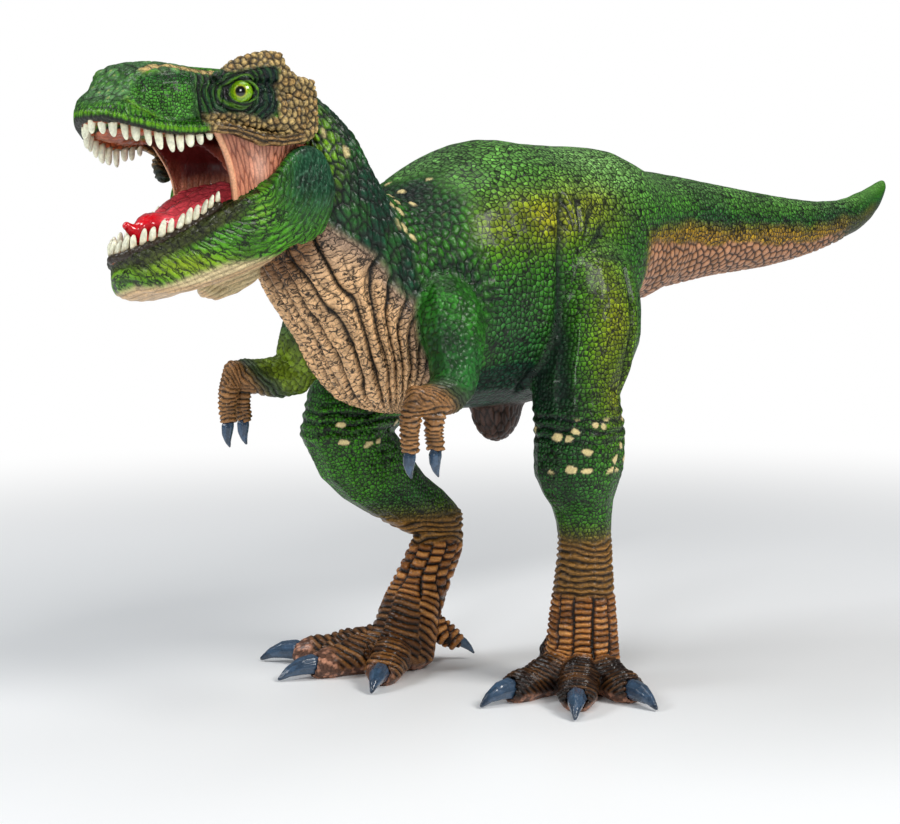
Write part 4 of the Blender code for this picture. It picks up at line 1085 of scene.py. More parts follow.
lumps = [cad_solid("skull")]
for hand in (1, -1):
    lumps.append(rope(from_hinge(LIP_LINE, hand)))
    lumps.append(rope(from_hinge(CREST_LINE, hand)))
    lumps.append(lid_ring(hand))
    front, rear, count = PLATE_ROW
    steps = np.linspace(front, rear, count)[0 if hand > 0 else 2:]
    rows = [(from_hinge((s, 23.2 + 0.25 * math.sin(i), 6.4 + 4.6 * (front - s) / (front - rear)),
                        hand)[0], Vector((0.1 * hand, 1, 0)) * 0.62 * MM, 0.80 * MM)
            for i, s in enumerate(steps)]
    lumps.extend(beads(rows))
lumps.append(rope(from_hinge(JOWL, -1)))
head = Casting("head", [(0, lump) for lump in lumps], HEAD_GRAIN, 7)
before = (hinge[1] - head.points[:, 1]) / MM
up = (head.points[:, 2] - hinge[2]) / MM
to_left = (head.points[:, 0] - half_way) / MM
head.points[:, 1] += 2.3 * MM * ease(up, 15.5, 21.0) * ease(before, 33, 42)
low_part = ease(up, 19, 14)
far_crest = ease(up, 19.5, 22.5) * ease(before, 24, 20) * ease(before, 4, 9)
flat = head.points.copy()
head.points = flat + (leaned(flat) - flat) * low_part[:, None]
head.points[:, 2] -= 0.34 * MM * np.clip(-6.5 - to_left, 0, 9) * far_crest
head.melt(0.5 * np.ones(len(flat)), 2)
spot = head.points
facing = head.normals
forward = (hinge[1] - flat[:, 1]) / MM
up = (flat[:, 2] - hinge[2]) / MM
out = np.abs(spot[:, 0] - half_way) / MM

all_over = np.ones(len(spot))

# the snout's leathery ridges run down and back
sign = np.where(spot[:, 0] > half_way, 1.0, -1.0)
ridges = Scales(stretched(spot, (0, 0.55, -1), 3.2), 0.00105, 21)
colour = LEAF * lit(ridges, 0.6, 1.3)
colour = blend_in(colour, 0.45 * ease(ridges.rim, 0.3, 0.9), LIME)
head.lay(all_over, 0.18 * MM * (ridges.dome - 0.5), colour, 0.3)
head.stain(0.85 * ridges.gap(0.05, 0.36), SOOT * 0.7 + PINE * 0.2)
head.crack(all_over, stretched(spot, (0, 0.55, -1), 3.0) / 0.00085, 0.85)

# the top of the snout is dull grey green with pale dots
knobs = Scales(spot, 0.0019, 31)
on_top = ease(facing[:, 2], 0.45, 0.8) * ease(forward, 25, 29)
# each knob is painted darker towards its rim: painted shade
colour = SNOUT_GREY * lit(knobs, 0.35, 1.3) * (0.55 + 0.55 * knobs.dome)[:, None]
head.lay(on_top, 0.38 * MM * (knobs.dome - 0.5), colour, 0.3)
head.stain(on_top * 0.8 * knobs.gap(0.04, 0.3), SOOT)
head.crack(on_top, spot / 0.0012, 0.6)
head.stain(on_top * 0.6 * ease(knobs.rim, 0.75, 1.1) * (knobs.tone > 0.55), TAN)

# the pebbled panel, sunk inside a smooth raised rim
(panel_a, panel_h), (panel_long, panel_high) = PANEL
reach = np.hypot((forward - panel_a) / panel_long, (up - panel_h) / panel_high)
reach = reach + 0.10 * cloud(spot, 0.004, 15.0)
inside = ease(reach, 1.04, 0.94) * ease(out, 5.5, 7.5)
colour = blend_in(plain(PANEL_DARK), ease(up, 23.5, 19), PANEL_GREEN)
colour = colour * (1 + 0.4 * cloud(spot, 0.003, 16.0))[:, None]
head.lay(inside, -0.35 * MM * np.ones(len(spot)), colour, 0.25, 1.0)
rim = np.exp(-((reach - 1.10) / 0.06) ** 2) * ease(out, 6, 8)
rim_front = rim * ease(forward, 32, 37)
head.lay(0.85 * rim_front, 0.40 * MM * np.ones(len(spot)), LIME * 0.65, 0.3, 0.0, 0.3)
rim_low = rim * ease(forward, 37, 31) * ease(up, 18, 16)
head.lay(0.8 * rim_low, 0.30 * MM * np.ones(len(spot)), SNOUT_GREY * 0.8, 0.3, 0.0, 0.5)

# the lip: upright creases, a bright edge and a black line under it
lip_rows = np.array(LIP_LINE)
order = np.argsort(lip_rows[:, 0])
lip_height = np.interp(forward, lip_rows[order, 0], lip_rows[order, 1]) - 1.1
above_lip = up - lip_height
creases = Scales(stretched(spot, (0, 0.1, -1), 4.5), 0.00068, 51)
around_lip = np.arctan2(spot[:, 0] - half_way, (forward - 18) * MM) * 24
band = ease(above_lip + 0.5 * cloud(spot, 0.002, 17.0), 4.2, 2.0)
band = band * ease(forward, 17, 22) * ease(reach, 1.08, 1.18)
colour = LEAF * lit(creases, 0.7, 1.2)
colour = blend_in(colour, 0.5 * ease(creases.rim, 0.3, 0.9), LIME)
head.lay(band, 0.18 * MM * (creases.dome - 0.4), colour, 0.3)
head.stain(band * 0.9 * creases.gap(0.05, 0.4), SOOT)
head.crack(band, np.stack([around_lip / 0.62, above_lip / 2.6, 0 * up], 1), 1.0)
edge = np.exp(-((above_lip - 1.0) / 0.36) ** 2) * ease(forward, 19, 24)
head.stain(0.7 * edge * (0.55 + 0.6 * ease(creases.rim, 0.2, 0.8)), LIME * 0.9)
head.lined *= 1 - 0.5 * edge
head.stain(0.97 * ease(above_lip, 0.65, 0.30) * ease(forward, 8, 12), SOOT * 0.6)
head.lined *= 1 - ease(above_lip, 0.65, 0.30)

# lids and the creased skin round the eye
around = np.hypot(forward - EYE_PLACE[0] - 0.6, (up - EYE_PLACE[1]) * 1.12)
turn = np.arctan2(up - EYE_PLACE[1], forward - EYE_PLACE[0])
wobble = cloud(spot, 0.0035, 5.0)
ragged = cloud(spot, 0.0022, 25.0)
wave = np.sin(around * 4.3 + 3.4 * wobble + 1.2 * ragged + 0.5 * np.sin(3 * turn))
lids = ease(around + 1.2 * wobble, 10.6, 8.8) * ease(out, 9, 11.5) * ease(forward + 1.4 * ragged, 8.4, 9.6)
colour = PINE * (0.9 + 0.5 * wobble)[:, None]
colour = blend_in(colour, 0.55 * ease(wave, 0.3, 0.9), LID_GREEN)
head.lay(lids, MM * (0.20 * wave - 0.15 * ease(around, 6.5, 4)), colour, 0.3)
head.stain(lids * 0.9 * ease(wave, -0.15, -0.75), SOOT * 0.6)
head.stain(lids * 0.55 * ease(forward, 15.5, 12.5) * ease(around, 3.6, 4.6), BLUE_BLACK * 1.3)
head.stain(lids * 0.5 * ease(around, 6.2, 4.9) * ease(up, 18.8, 16.6) * ease(wave, 0, 0.8), LID_GREY)
head.crack(lids, np.stack([around / 0.75, turn * 1.6, 0 * up], 1), 1.0)
bright = lids * ease(around, 4.4, 3.3)
head.stain(bright * 0.75 * ease(wave + ragged, 0.0, 0.9), LIME * 0.6)
head.lined *= 1 - 0.4 * bright
head.stain(lids * 0.95 * np.exp(-((around - 2.75) / 0.33) ** 2), SOOT * 0.4)

# tan knobs: crest, temple and cheek
knobs = Scales(spot + 0.0004 * np.stack([wobble, ragged, -wobble], 1), 0.00118, 61)
small = Scales(spot, 0.0008, 63)
crest_rows = np.array(CREST_LINE)
from_crest = np.full(len(spot), 99.0)
for low_end, high_end in zip(crest_rows[:-1, :3], crest_rows[1:, :3]):
    run = high_end - low_end
    place = np.stack([forward, up, out], 1) - low_end
    share = np.clip(place @ run / (run @ run), 0, 1)
    from_crest = np.minimum(from_crest, np.linalg.norm(place - share[:, None] * run, axis=1))
temple = ease(forward + 1.4 * ragged, 10.4, 9.2) * ease(out, 7, 9)
cheek_line = 15.0 + 0.02 * (forward - 14) ** 2 - 2.2 * ease(forward, 17, 26)
cheek = ease(up + 1.2 * ragged, cheek_line + 0.6, cheek_line - 0.4)
cheek = cheek * ease(forward + 2 * ragged, 26, 23.5) * ease(out, 8, 10)
tan = np.clip(ease(from_crest, 2.5, 1.7) + temple + cheek, 0, 1)
colour = TAN * lit(knobs, 0.55, 1.15)
colour = blend_in(colour, 0.55 * (knobs.tone > 0.72), OCHRE)
# each knob is painted darker towards its rim: painted shade
colour = colour * (0.35 + 0.75 * ease(knobs.rim, 0.15, 0.7))[:, None]
height = MM * (0.46 * knobs.dome - 0.12 + 0.10 * small.dome)
head.lay(tan, height, colour, 0.35)
head.stain(tan * 0.92 * knobs.gap(0.04, 0.30), SOOT)
head.stain(tan * 0.6 * small.gap(0.02, 0.25), SOOT)
head.crack(tan, spot / 0.0019, 0.55)

# smooth folds under the cheek knobs, down to the lip's rear edge
folds = np.sin(above_lip * 6.4 + 2.6 * wobble + 0.9 * ragged)
low_cheek = ease(above_lip + 0.6 * ragged, 2.3, 1.5) * ease(forward, 25, 21) * ease(forward, 1, 5)
colour = plain(CHEEK_BROWN)
colour = blend_in(colour, 0.6 * ease(folds, 0.1, 0.8), CHEEK_TAN)
head.lay(low_cheek, 0.15 * MM * folds, colour, 0.3)
head.stain(low_cheek * 0.9 * ease(folds, -0.1, -0.65), SOOT)
head.crack(low_cheek, np.stack([above_lip / 0.7, forward / 2.2, 0 * up], 1), 0.8)

# tan plates along the snout's upper edge
plate_way = (front - forward) / (front - rear)
from_row = np.hypot(up - 23.9, out - 6.4 - 4.6 * np.clip(plate_way, 0, 1))
own_front = np.where(to_left > 0, front, front - 4.0)
plates = ease(forward, own_front + 1.2, own_front) * ease(forward, rear - 1.2, rear)
plates = plates * ease(from_row, 1.25, 0.8)
gaps = np.abs(np.sin(math.pi * (plate_way * (count - 1) + 0.5)))
head.stain(plates * 0.95, TAN * (0.85 + 0.25 * cloud(spot, 0.002, 9))[:, None])
head.stain(plates * 0.9 * ease(gaps, 0.38, 0.1), SOOT)

# the palate behind the upper teeth is flesh coloured
lip_out = np.interp(forward, lip_rows[order, 0], lip_rows[order, 2])
inner = ease(facing[:, 2], -0.25, -0.6) * ease(above_lip, 1.6, 0.8) * ease(lip_out - out, 0.9, 1.8)
ribs = Scales(stretched(spot, (1, 0, 0), 2.0), 0.0016, 71)
colour = PALATE * lit(ribs, 0.75, 1.15)
head.lay(inner, 0.2 * MM * (ribs.dome - 0.5), colour, 0.3, 0.0, 0.3)
head.stain(inner * 0.5 * ribs.gap(0.05, 0.4), PALATE_WASH)

# nostrils
for hand in (1, -1):
    pit = np.linalg.norm((spot - from_hinge((40.6, 22.6, 7.2), hand)[0]) / MM / (1, 1.5, 0.6), axis=1)
    head.stain(0.85 * ease(pit, 0.9, 0.5), SOOT * 0.3)

raise_surface(head)
# the far jowl, below the far cheek, is painted dark green: painted shade
far_jowl_shade = ease(to_left, -11, -12.5) * ease(up, 9.5, 8) * ease(forward, 9, 11)
head.stain(0.9 * far_jowl_shade, JOWL_SHADE_GREEN)
head_finish = varnished("head_varnish", cells=1400.0)
cut_piece(head, "skull_skin", np.ones(len(head.quads), bool), head_finish, "figure", ["skull"])


# Lower jaw
# One casting that swings on the pin: a trough under the tongue with a tall lobe at each rear
# end. A dark grooved band runs under the teeth, green with black cracks below it, cream beneath.

JAW_GRAIN = 0.00029
LOBE_OUTLINE = ((12.0, 0.0), (9.4, 3.2), (7.2, 6.0), (4.8, 8.2), (2.0, 9.6), (-1.0, 9.6),
                (-3.9, 8.2), (-6.0, 5.2), (-6.7, 0.5), (-6.2, -4.4), (-4.0, -8.0), (1.0, -10.5),
                (8.0, -9.0))
LOBE_SIDES = (13.2, 15.7)
CREAM_EDGE = ((-7, -9), (0, -10.5), (5, -12.6), (12, -13.2), (20, -13.8), (26, -15.6), (32, -17.8),
              (38, -18.2))
JAW_LEAN = 0.27
THROAT = ((12.5, -18.2, -4.0, 1.3), (9.6, -19.6, -6.0, 2.0), (6.0, -20.0, -7.0, 2.4),
          (1.5, -19.2, -6.0, 2.0), (-2.0, -17.0, -4.0, 1.6))
THROAT_ROOT = (0, 4.0, 0.5, 1.5)
GUM_BAND = ((37.0, -11.9, 0, 1.1), (36.0, -11.8, 4.2, 1.2), (34.0, -11.0, 6.4, 1.3),
            (29.5, -8.9, 8.8, 1.4), (23.5, -5.9, 10.6, 1.5), (18.0, -3.0, 12.0, 1.5),
            (13.5, -1.1, 13.4, 1.4), (10.0, 0.8, 14.2, 1.2))
CREAM = paint(226, 206, 158)
OLIVE = paint(72, 82, 30)
CRACK = paint(8, 26, 12)
JAW_GREEN = paint(70, 140, 22)
JAW_YELLOW = paint(170, 190, 34)
JAW_LIGHT = paint(150, 200, 60)
LOBE_GREEN = paint(10, 54, 32)
SCRATCH = paint(84, 136, 104)
BAND_GREEN = paint(96, 120, 40)
GUM_EDGE = paint(46, 52, 22)
THROAT_CREAM = paint(206, 160, 104)
CHIN_PEACH = paint(214, 160, 118)
CHIN_WASH = paint(86, 66, 36)
JAW_FLESH = paint(170, 64, 50)


def slab(outline, low, high, hand):
    """A flat plate with this outline, between two distances out from the middle."""
    count = len(outline)
    places = np.concatenate([from_hinge([(a, h, side) for a, h in outline], hand)
                             for side in (low, high)]).tolist()
    faces = [(i, (i + 1) % count, count + (i + 1) % count, count + i) for i in range(count)]
    faces += [list(range(count))[::-1], list(range(count, 2 * count))]
    return places, faces


lumps = [cad_solid("lower_jaw")]
for hand in (1, -1):
    lumps.append(slab(LOBE_OUTLINE, *LOBE_SIDES, hand))
    lumps.append(rope(from_hinge(GUM_BAND, hand)))
lumps.append(rope(from_hinge(THROAT)))
lumps.append(rope(from_hinge(np.array(THROAT) + THROAT_ROOT)))
jaw = Casting("jaw", [(0, lump) for lump in lumps], JAW_GRAIN, 10)
flat = jaw.points.copy()
forward = (hinge[1] - flat[:, 1]) / MM
up = (flat[:, 2] - hinge[2]) / MM
out = np.abs(flat[:, 0] - half_way) / MM
jaw.points = leaned(flat, JAW_LEAN, 9.0, 2.5)
rounded = ease(out, 12.5, 14.0) * ease(forward, 16, 12)
jaw.melt(rounded, 60)
spot = jaw.points
facing = jaw.normals

band_rows = np.array(GUM_BAND)[::-1]
band_height = np.interp(forward, band_rows[:, 0], band_rows[:, 1])
below_band = band_height - up

drift = cloud(spot, 0.006, 2.2)
small = cloud(spot, 0.0016, 3.2)
from_corner = np.hypot(forward - 15, up - 4)
swing = np.arctan2(up - 4, forward - 15)
swing = np.where(swing > 2.2, swing - math.tau, swing)
stripe = np.sin(from_corner * 4.6 + 3.0 * drift + 1.2 * small)
colour = JAW_GREEN * (1 + 0.55 * drift + 0.30 * small)[:, None]
yellow = 0.6 * np.exp(-(((forward - 28) / 10) ** 2 + ((up + 14) / 2.8) ** 2))
colour = blend_in(colour, yellow, JAW_YELLOW)
glint = np.exp(-(((forward - 13) / 2.4) ** 2 + ((up + 3.2) / 3.4) ** 2))
colour = blend_in(colour, 0.55 * glint * ease(stripe, -0.4, 0.4), JAW_LIGHT)
jaw.lay(np.ones(len(spot)), MM * 0.11 * stripe, colour, 0.26)
jaw.stain(0.75 * ease(stripe, -0.45, -0.92), CRACK)
jaw.crack(np.ones(len(spot)), np.stack([from_corner / 1.15, swing * 3.3, 0 * up], 1), 1.0)

scratches = Scales(stretched(spot, (0.1, 0.35, 1), 5.0), 0.0008, 85)
colour = LOBE_GREEN * lit(scratches, 0.55, 1.5) * (1 + 0.8 * drift)[:, None]
shade = ease(forward + 2 * drift, 12, 3) * ease(up + 2 * drift, -11, 2)
jaw.lay(shade, MM * 0.06 * (scratches.dome - 0.5), colour, 0.26, 0.0, 0.5)
jaw.stain(shade * 0.4 * scratches.gap(0.05, 0.3), SCRATCH)

grooves = Scales(stretched(spot, (0, 1, 0.62), 5.5), 0.00085, 87)
band = ease(below_band + drift, 2.9, 1.2) * ease(forward, 13, 19)
colour = OLIVE * lit(grooves, 0.5, 1.4)
colour = blend_in(colour, 0.35 * ease(grooves.rim, 0.4, 1.0), BAND_GREEN)
colour = colour * (0.85 + 0.5 * drift)[:, None]
jaw.lay(band, MM * 0.22 * (grooves.dome - 0.4), colour, 0.26, 0.0, 0.9)
jaw.stain(band * 0.65 * grooves.gap(0.05, 0.34), SOOT)
jaw.stain(band * 0.6 * ease(below_band, 0.6, -0.2), GUM_EDGE)
throat = ease(up, -15.5, -17.0) * ease(forward, 15, 13)
jaw.stain(0.85 * throat, THROAT_CREAM)

lines = np.sin((up + 0.38 * forward) * 5.0 + 2.4 * cloud(spot, 0.006, 4))
places, heights = np.array(CREAM_EDGE).T
low_edge = np.interp(forward, places, heights)
pale = ease(up, low_edge + 1.2, low_edge - 0.8)
colour = CREAM * (0.86 + 0.14 * ease(lines, -0.6, 0.6))[:, None]
colour = blend_in(colour, 0.5 * ease(facing[:, 2], -0.5, -0.9), CHIN_PEACH)
jaw.lay(pale, MM * 0.06 * lines, colour, 0.35, 0.0, 0.35)
jaw.stain(pale * 0.5 * ease(lines, -0.6, -0.95), CHIN_WASH)

inner = ease(np.sign(spot[:, 0] - half_way) * facing[:, 0], -0.1, -0.5) * ease(below_band, 6, 4)
jaw.lay(inner * ease(forward, 4, 9), np.zeros(len(spot)), plain(JAW_FLESH), 0.4)

raise_surface(jaw)
cut_piece(jaw, "jaw_skin", np.ones(len(jaw.quads), bool), head_finish, "jaw", ["lower_jaw"])


# Mouth
# The throat lining is a soft insert, painted salmon and streaked up and down, dark maroon at
# the gullet. A cheek of the same vinyl hangs on each side from the lip.

LINING_GRAIN = 0.00028
SALMON = paint(216, 140, 108)
MAROON = paint(84, 12, 12)
LINING_WASH = paint(140, 56, 36)
LINING_TOP = paint(170, 78, 44)
CHEEK_WASH = paint(112, 50, 32)
CHEEK_LIGHT = paint(240, 196, 176)
CHEEK_SHADE = paint(110, 56, 34)
CHEEK_EDGE = paint(232, 170, 130)
CHEEK_TOP = ((22.6, 12.4, 11.6), (19.0, 12.4, 12.4), (14.0, 11.0, 13.2), (8.0, 10.6, 13.6),
             (1.0, 11.0, 13.4))
CHEEK_LOW = ((17.2, -1.6, 11.2), (15.0, -1.8, 11.7), (12.0, -1.2, 12.3), (8.5, 0.6, 12.9),
             (3.0, 3.4, 13.0))
CHEEK_BOW = 1.7
CHEEK_WALL = 0.5
CHEEK_STEPS = (150, 84)

lining = Casting("lining", [(0, cad_solid("throat_lining"))], LINING_GRAIN, 12)
spot = lining.points
forward = (hinge[1] - spot[:, 1]) / MM
up = (spot[:, 2] - hinge[2]) / MM
out = np.abs(spot[:, 0] - half_way) / MM
streaks = Scales(stretched(spot, (0, 0.1, 1), 9.0), 0.0009, 91)
colour = SALMON * lit(streaks, 0.72, 1.08)
lining.lay(np.ones(len(spot)), MM * 0.12 * (streaks.dome - 0.5), colour, 0.3)
lining.stain(0.55 * streaks.gap(0.05, 0.4), LINING_WASH)
lining.stain(0.6 * ease(up, 3.0, 7.5), LINING_TOP)
lining.crack(np.ones(len(spot)), stretched(spot, (0, 0.1, 1), 7.0) / 0.0009, 0.35)
gullet = ease(up + 0.22 * forward + 1.2 * cloud(spot, 0.006, 3), 3.4, 7.0) * ease(out, 10.8, 7.0)
lining.stain(0.98 * gullet, MAROON)
lining.height *= 1 - 0.8 * gullet
lining.lined *= 1 - 0.7 * gullet
lining.gloss += 0.6 * gullet
lining.stain(0.5 * ease(forward, 9, 3) * ease(out, 10, 7), MAROON)
raise_surface(lining)
flesh_finish = varnished("flesh_varnish", gloss=(0.26, 0.5), coat=0.4)
cut_piece(lining, "mouth_lining", np.ones(len(lining.quads), bool), flesh_finish, "figure",
          ["throat_lining"])


def curve(rows, count):
    """Points at even steps along a smooth line through the rows."""
    rows = np.array(rows, float)
    way = np.concatenate([[0], np.cumsum(np.linalg.norm(np.diff(rows, axis=0), axis=1))])
    ahead = np.gradient(rows, way, axis=0)
    goal = np.linspace(0, way[-1], count)
    i = np.clip(np.searchsorted(way, goal, side="right") - 1, 0, len(rows) - 2)
    span = (way[i + 1] - way[i])[:, None]
    t = (goal - way[i])[:, None] / span
    return ((2 * t ** 3 - 3 * t ** 2 + 1) * rows[i] + (t ** 3 - 2 * t ** 2 + t) * span * ahead[i]
            + (3 * t ** 2 - 2 * t ** 3) * rows[i + 1] + (t ** 3 - t ** 2) * span * ahead[i + 1])


def coloured(name, places, faces, colours, dull, material):
    """A painted piece from its points, faces and a colour for each point."""
    data = bpy.data.meshes.new(name)
    data.from_pydata(np.asarray(places).tolist(), [], faces)
    opaque = np.ones((len(places), 1))
    mark(data, "paint", "FLOAT_COLOR", np.hstack([np.clip(colours, 0, 1), opaque]))
    mark(data, "dull", "FLOAT", np.full(len(places), dull))
    data.shade_smooth()
    data.materials.append(material)
    made = bpy.data.objects.new(name, data)
    scene.collection.objects.link(made)
    return made


across, down = CHEEK_STEPS
high_edge = curve(CHEEK_TOP, across)
low_edge = curve(CHEEK_LOW, across)
u, v = np.meshgrid(np.linspace(0, 1, across), np.linspace(0, 1, down))
inwards, downwards = u.ravel(), v.ravel()
for side, hand in (("left", 1), ("right", -1)):
    place = high_edge[None] * (1 - v[..., None]) + low_edge[None] * v[..., None]
    bow = CHEEK_BOW * np.sin(math.pi * v) * (1 - u) ** 2 + (2.4 * (1 - u) if hand < 0 else 0)
    place[..., 0] -= bow
    place[..., 2] -= 0.5 * np.sin(math.pi * v)
    where = np.stack([u * 0.016, v * 0.0022, u * 0], -1).reshape(-1, 3)
    pleats = Scales(where, 0.00075, 95 + hand)
    relief = 0.3 * (pleats.dome - 0.5) * ease(inwards, 0.05, 0.12) * ease(downwards, 0, 0.06)
    relief += 0.15 * cloud(where, 0.003, 5)
    edge_roll = 0.35 * np.exp(-((inwards - 0.035) / 0.03) ** 2)
    outer = place.reshape(-1, 3).copy()
    outer[:, 2] += relief + edge_roll
    inner = place.reshape(-1, 3).copy()
    inner[:, 2] -= CHEEK_WALL + 0.5 * relief
    places = leaned(np.concatenate([from_hinge(outer, hand), from_hinge(inner, hand)]))
    tone = SALMON * lit(pleats, 0.72, 1.1)
    tone = blend_in(tone, 0.8 * pleats.gap(0.04, 0.4) * ease(inwards, 0.04, 0.12), CHEEK_WASH)
    # paler in the middle of the cheek's bulge: a painted highlight; darker at its top under the lip:
    # painted shade
    cheek_highlight = np.exp(-((inwards - 0.45) / 0.12) ** 2 - ((downwards - 0.5) / 0.3) ** 2)
    tone = blend_in(tone, 0.5 * cheek_highlight, CHEEK_LIGHT)
    tone = blend_in(tone, 0.6 * ease(downwards, 0.2, 0.02), CHEEK_SHADE)
    tone = blend_in(tone, ease(inwards, 0.07, 0.03), CHEEK_EDGE)
    half = across * down
    grid = np.arange(half).reshape(down, across)
    quad = np.stack([grid[:-1, :-1], grid[:-1, 1:], grid[1:, 1:], grid[1:, :-1]], -1).reshape(-1, 4)
    border = np.concatenate([grid[0, :-1], grid[:-1, -1], grid[-1, :0:-1], grid[:0:-1, 0]])
    rim = np.stack([border, border + half, np.roll(border, -1) + half, np.roll(border, -1)], 1)
    faces = np.concatenate([quad[:, ::-1], quad + half, rim[:, ::-1]])
    if hand < 0:
        faces = faces[:, ::-1]
    # the inner wall takes the same paint a fifth darker: painted shade
    cheek = coloured(side + "_cheek", places, faces.tolist(), np.concatenate([tone, tone * 0.8]),
                     0.35, flesh_finish)
    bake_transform(cheek)


# Gums and teeth
# Each arch is a flesh-coloured gum with separate blunt ivory pegs set in it, stained yellow and
# brown where they leave the gum. The longest stand near the front.

UPPER_ARCH = ((43.2, 15.9, 0), (42.4, 15.6, 2.4), (41.4, 15.1, 4.4), (40.0, 14.2, 6.0),
              (38.3, 13.5, 7.4), (36.4, 13.1, 8.6), (34.6, 12.5, 9.3), (32.6, 12.1, 9.9),
              (30.6, 11.9, 10.3), (28.1, 12.1, 10.7), (26.0, 12.4, 11.0), (23.6, 12.7, 11.4))
LOWER_ARCH = ((37.5, -11.0, 0), (36.9, -10.8, 2.8), (35.5, -9.8, 4.8), (33.4, -8.7, 6.5),
              (30.6, -7.4, 7.8), (27.8, -6.1, 8.8), (25.2, -4.8, 9.5), (22.9, -3.1, 10.2),
              (21.0, -1.6, 10.8))
UPPER_COUNT = 12
LOWER_COUNT = 13
UPPER_LENGTHS = (3.5, 3.7, 3.6, 3.7, 3.4, 3.7, 3.7, 3.9, 3.6, 3.0, 2.9, 2.3)
LOWER_LENGTHS = (3.1, 3.3, 2.9, 3.2, 3.0, 3.4, 2.9, 3.1, 3.4, 2.9, 3.1, 2.6, 2.3)
PEG_PROFILE = ((-0.18, 0.86), (0.0, 0.96), (0.22, 1.0), (0.45, 0.95), (0.68, 0.86), (0.84, 0.70),
               (0.94, 0.46), (0.99, 0.22), (1.0, 0.0))
PEG_SIDES = 14
IVORY = paint(238, 238, 212)
TOOTH_STAIN = paint(168, 128, 50)
TOOTH_ROOT = paint(44, 28, 14)
GUM_FLESH = paint(176, 88, 44)
GUM_WASH = paint(40, 18, 10)
UPPER_GUM_DARK = paint(20, 18, 12)
LOWER_GUM_DARK = paint(50, 40, 22)


def arch_line(rows, count):
    """Points and runs at even steps round the whole arch, from the right rear to the left."""
    rows = np.array(rows, float)
    mirrored = rows[:0:-1] * (1, 1, -1)
    line = curve(np.concatenate([mirrored, rows]), count)
    runs = np.gradient(line, axis=0)
    return line, runs / np.linalg.norm(runs, axis=1)[:, None]


def pegs(name, arch, count, lengths, heading, radius, sway, share, replaced, on_body, seed):
    """The row of teeth on one arch."""
    line, runs = arch_line(arch, 2 * count - 1)
    draw = np.random.default_rng(seed)
    places = []
    faces = []
    colours = []
    for number, (root, run) in enumerate(zip(line, runs)):
        step = abs(number - count + 1)
        length = lengths[step] * draw.uniform(0.92, 1.06)
        wide = radius * draw.uniform(0.86, 1.08) * (1.0 if length > 2.7 else 0.88)
        away = np.cross(run, (0, 1, 0))
        away /= np.linalg.norm(away)
        away *= np.sign(away[2] * root[2] + 1e-6) if abs(root[2]) > 1 else np.sign(away[0] + 1e-6)
        axis = np.array((draw.uniform(-sway, sway), heading, 0))
        axis = axis + (0.10 + draw.uniform(-0.5, 0.5) * sway) * away
        axis /= np.linalg.norm(axis)
        base = len(places)
        for part, slim in PEG_PROFILE:
            bend = 0.10 * part * part * length
            centre = root + axis * part * length - np.array((bend, 0, 0))
            sides = 1 if slim == 0 else PEG_SIDES
            for i in range(sides):
                turn = math.tau * i / PEG_SIDES
                ripple = 1 + 0.05 * math.sin(3 * turn + number)
                spoke = (run * math.cos(turn) + 0.86 * away * math.sin(turn)) * slim * wide * ripple
                places.append(centre + spoke)
                dirt = max(0.0, 1 - max(part, 0) / draw.uniform(0.2, 0.6)) ** 1.2
                tint = IVORY * draw.uniform(0.90, 1.0)
                tint = tint + dirt * 0.85 * (TOOTH_STAIN - tint)
                tint = tint + (part < 0.08) * 0.8 * (TOOTH_ROOT - tint)
                colours.append(tint)
        rings = len(PEG_PROFILE) - 1
        for ring in range(rings - 1):
            for i in range(PEG_SIDES):
                j = (i + 1) % PEG_SIDES
                low = base + ring * PEG_SIDES
                faces.append((low + i, low + j, low + PEG_SIDES + j, low + PEG_SIDES + i))
        last = base + (rings - 1) * PEG_SIDES
        faces.extend((last + i, last + (i + 1) % PEG_SIDES, base + rings * PEG_SIDES)
                     for i in range(PEG_SIDES))
        faces.append(tuple(range(base + PEG_SIDES - 1, base - 1, -1)))
    made = coloured(name, leaned(from_hinge(places), *share), faces, np.array(colours), 0.25, ivory_finish)
    tidy = bmesh.new()
    tidy.from_mesh(made.data)
    bmesh.ops.recalc_face_normals(tidy, faces=tidy.faces)
    tidy.to_mesh(made.data)
    tidy.free()
    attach(made, on_body)
    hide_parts(replaced)
    return made


def gum(name, arch, replaced, on_body, rise, share, outside, seed):
    """The gum that one row of teeth stands in, dark outside and flesh coloured within."""
    line, runs = arch_line(arch, 60)
    bars = []
    for level, back, narrow, radius in ((rise, 1.0, 1.0, 1.0), (2.4 * rise, 0.94, 0.90, 1.1)):
        rows = np.column_stack([line * (back, 1, narrow) + (0, level, 0), np.full(60, radius)])
        bars.append((0, rope(from_hinge(rows))))
    casting = Casting(name, bars, 0.0002, 6)
    casting.points = leaned(casting.points, *share)
    casting.normals = faced(casting.points, casting.quads)
    lumps_on = Scales(casting.points, 0.0013, seed)
    colour = GUM_FLESH * lit(lumps_on, 0.6, 1.1)
    outwards = np.sign(casting.points[:, 0] - half_way) * casting.normals[:, 0]
    outwards = outwards - 0.6 * casting.normals[:, 1]
    colour = blend_in(colour, ease(outwards, -0.1, 0.35), outside)
    casting.lay(np.ones(len(casting.points)), 0.15 * MM * (lumps_on.dome - 0.5), colour, 0.3)
    casting.stain(0.7 * lumps_on.gap(0.05, 0.4), GUM_WASH)
    casting.crack(np.ones(len(casting.points)), casting.points / 0.0014, 0.5)
    raise_surface(casting)
    cut_piece(casting, name, np.ones(len(casting.quads), bool), flesh_finish, on_body, [replaced])


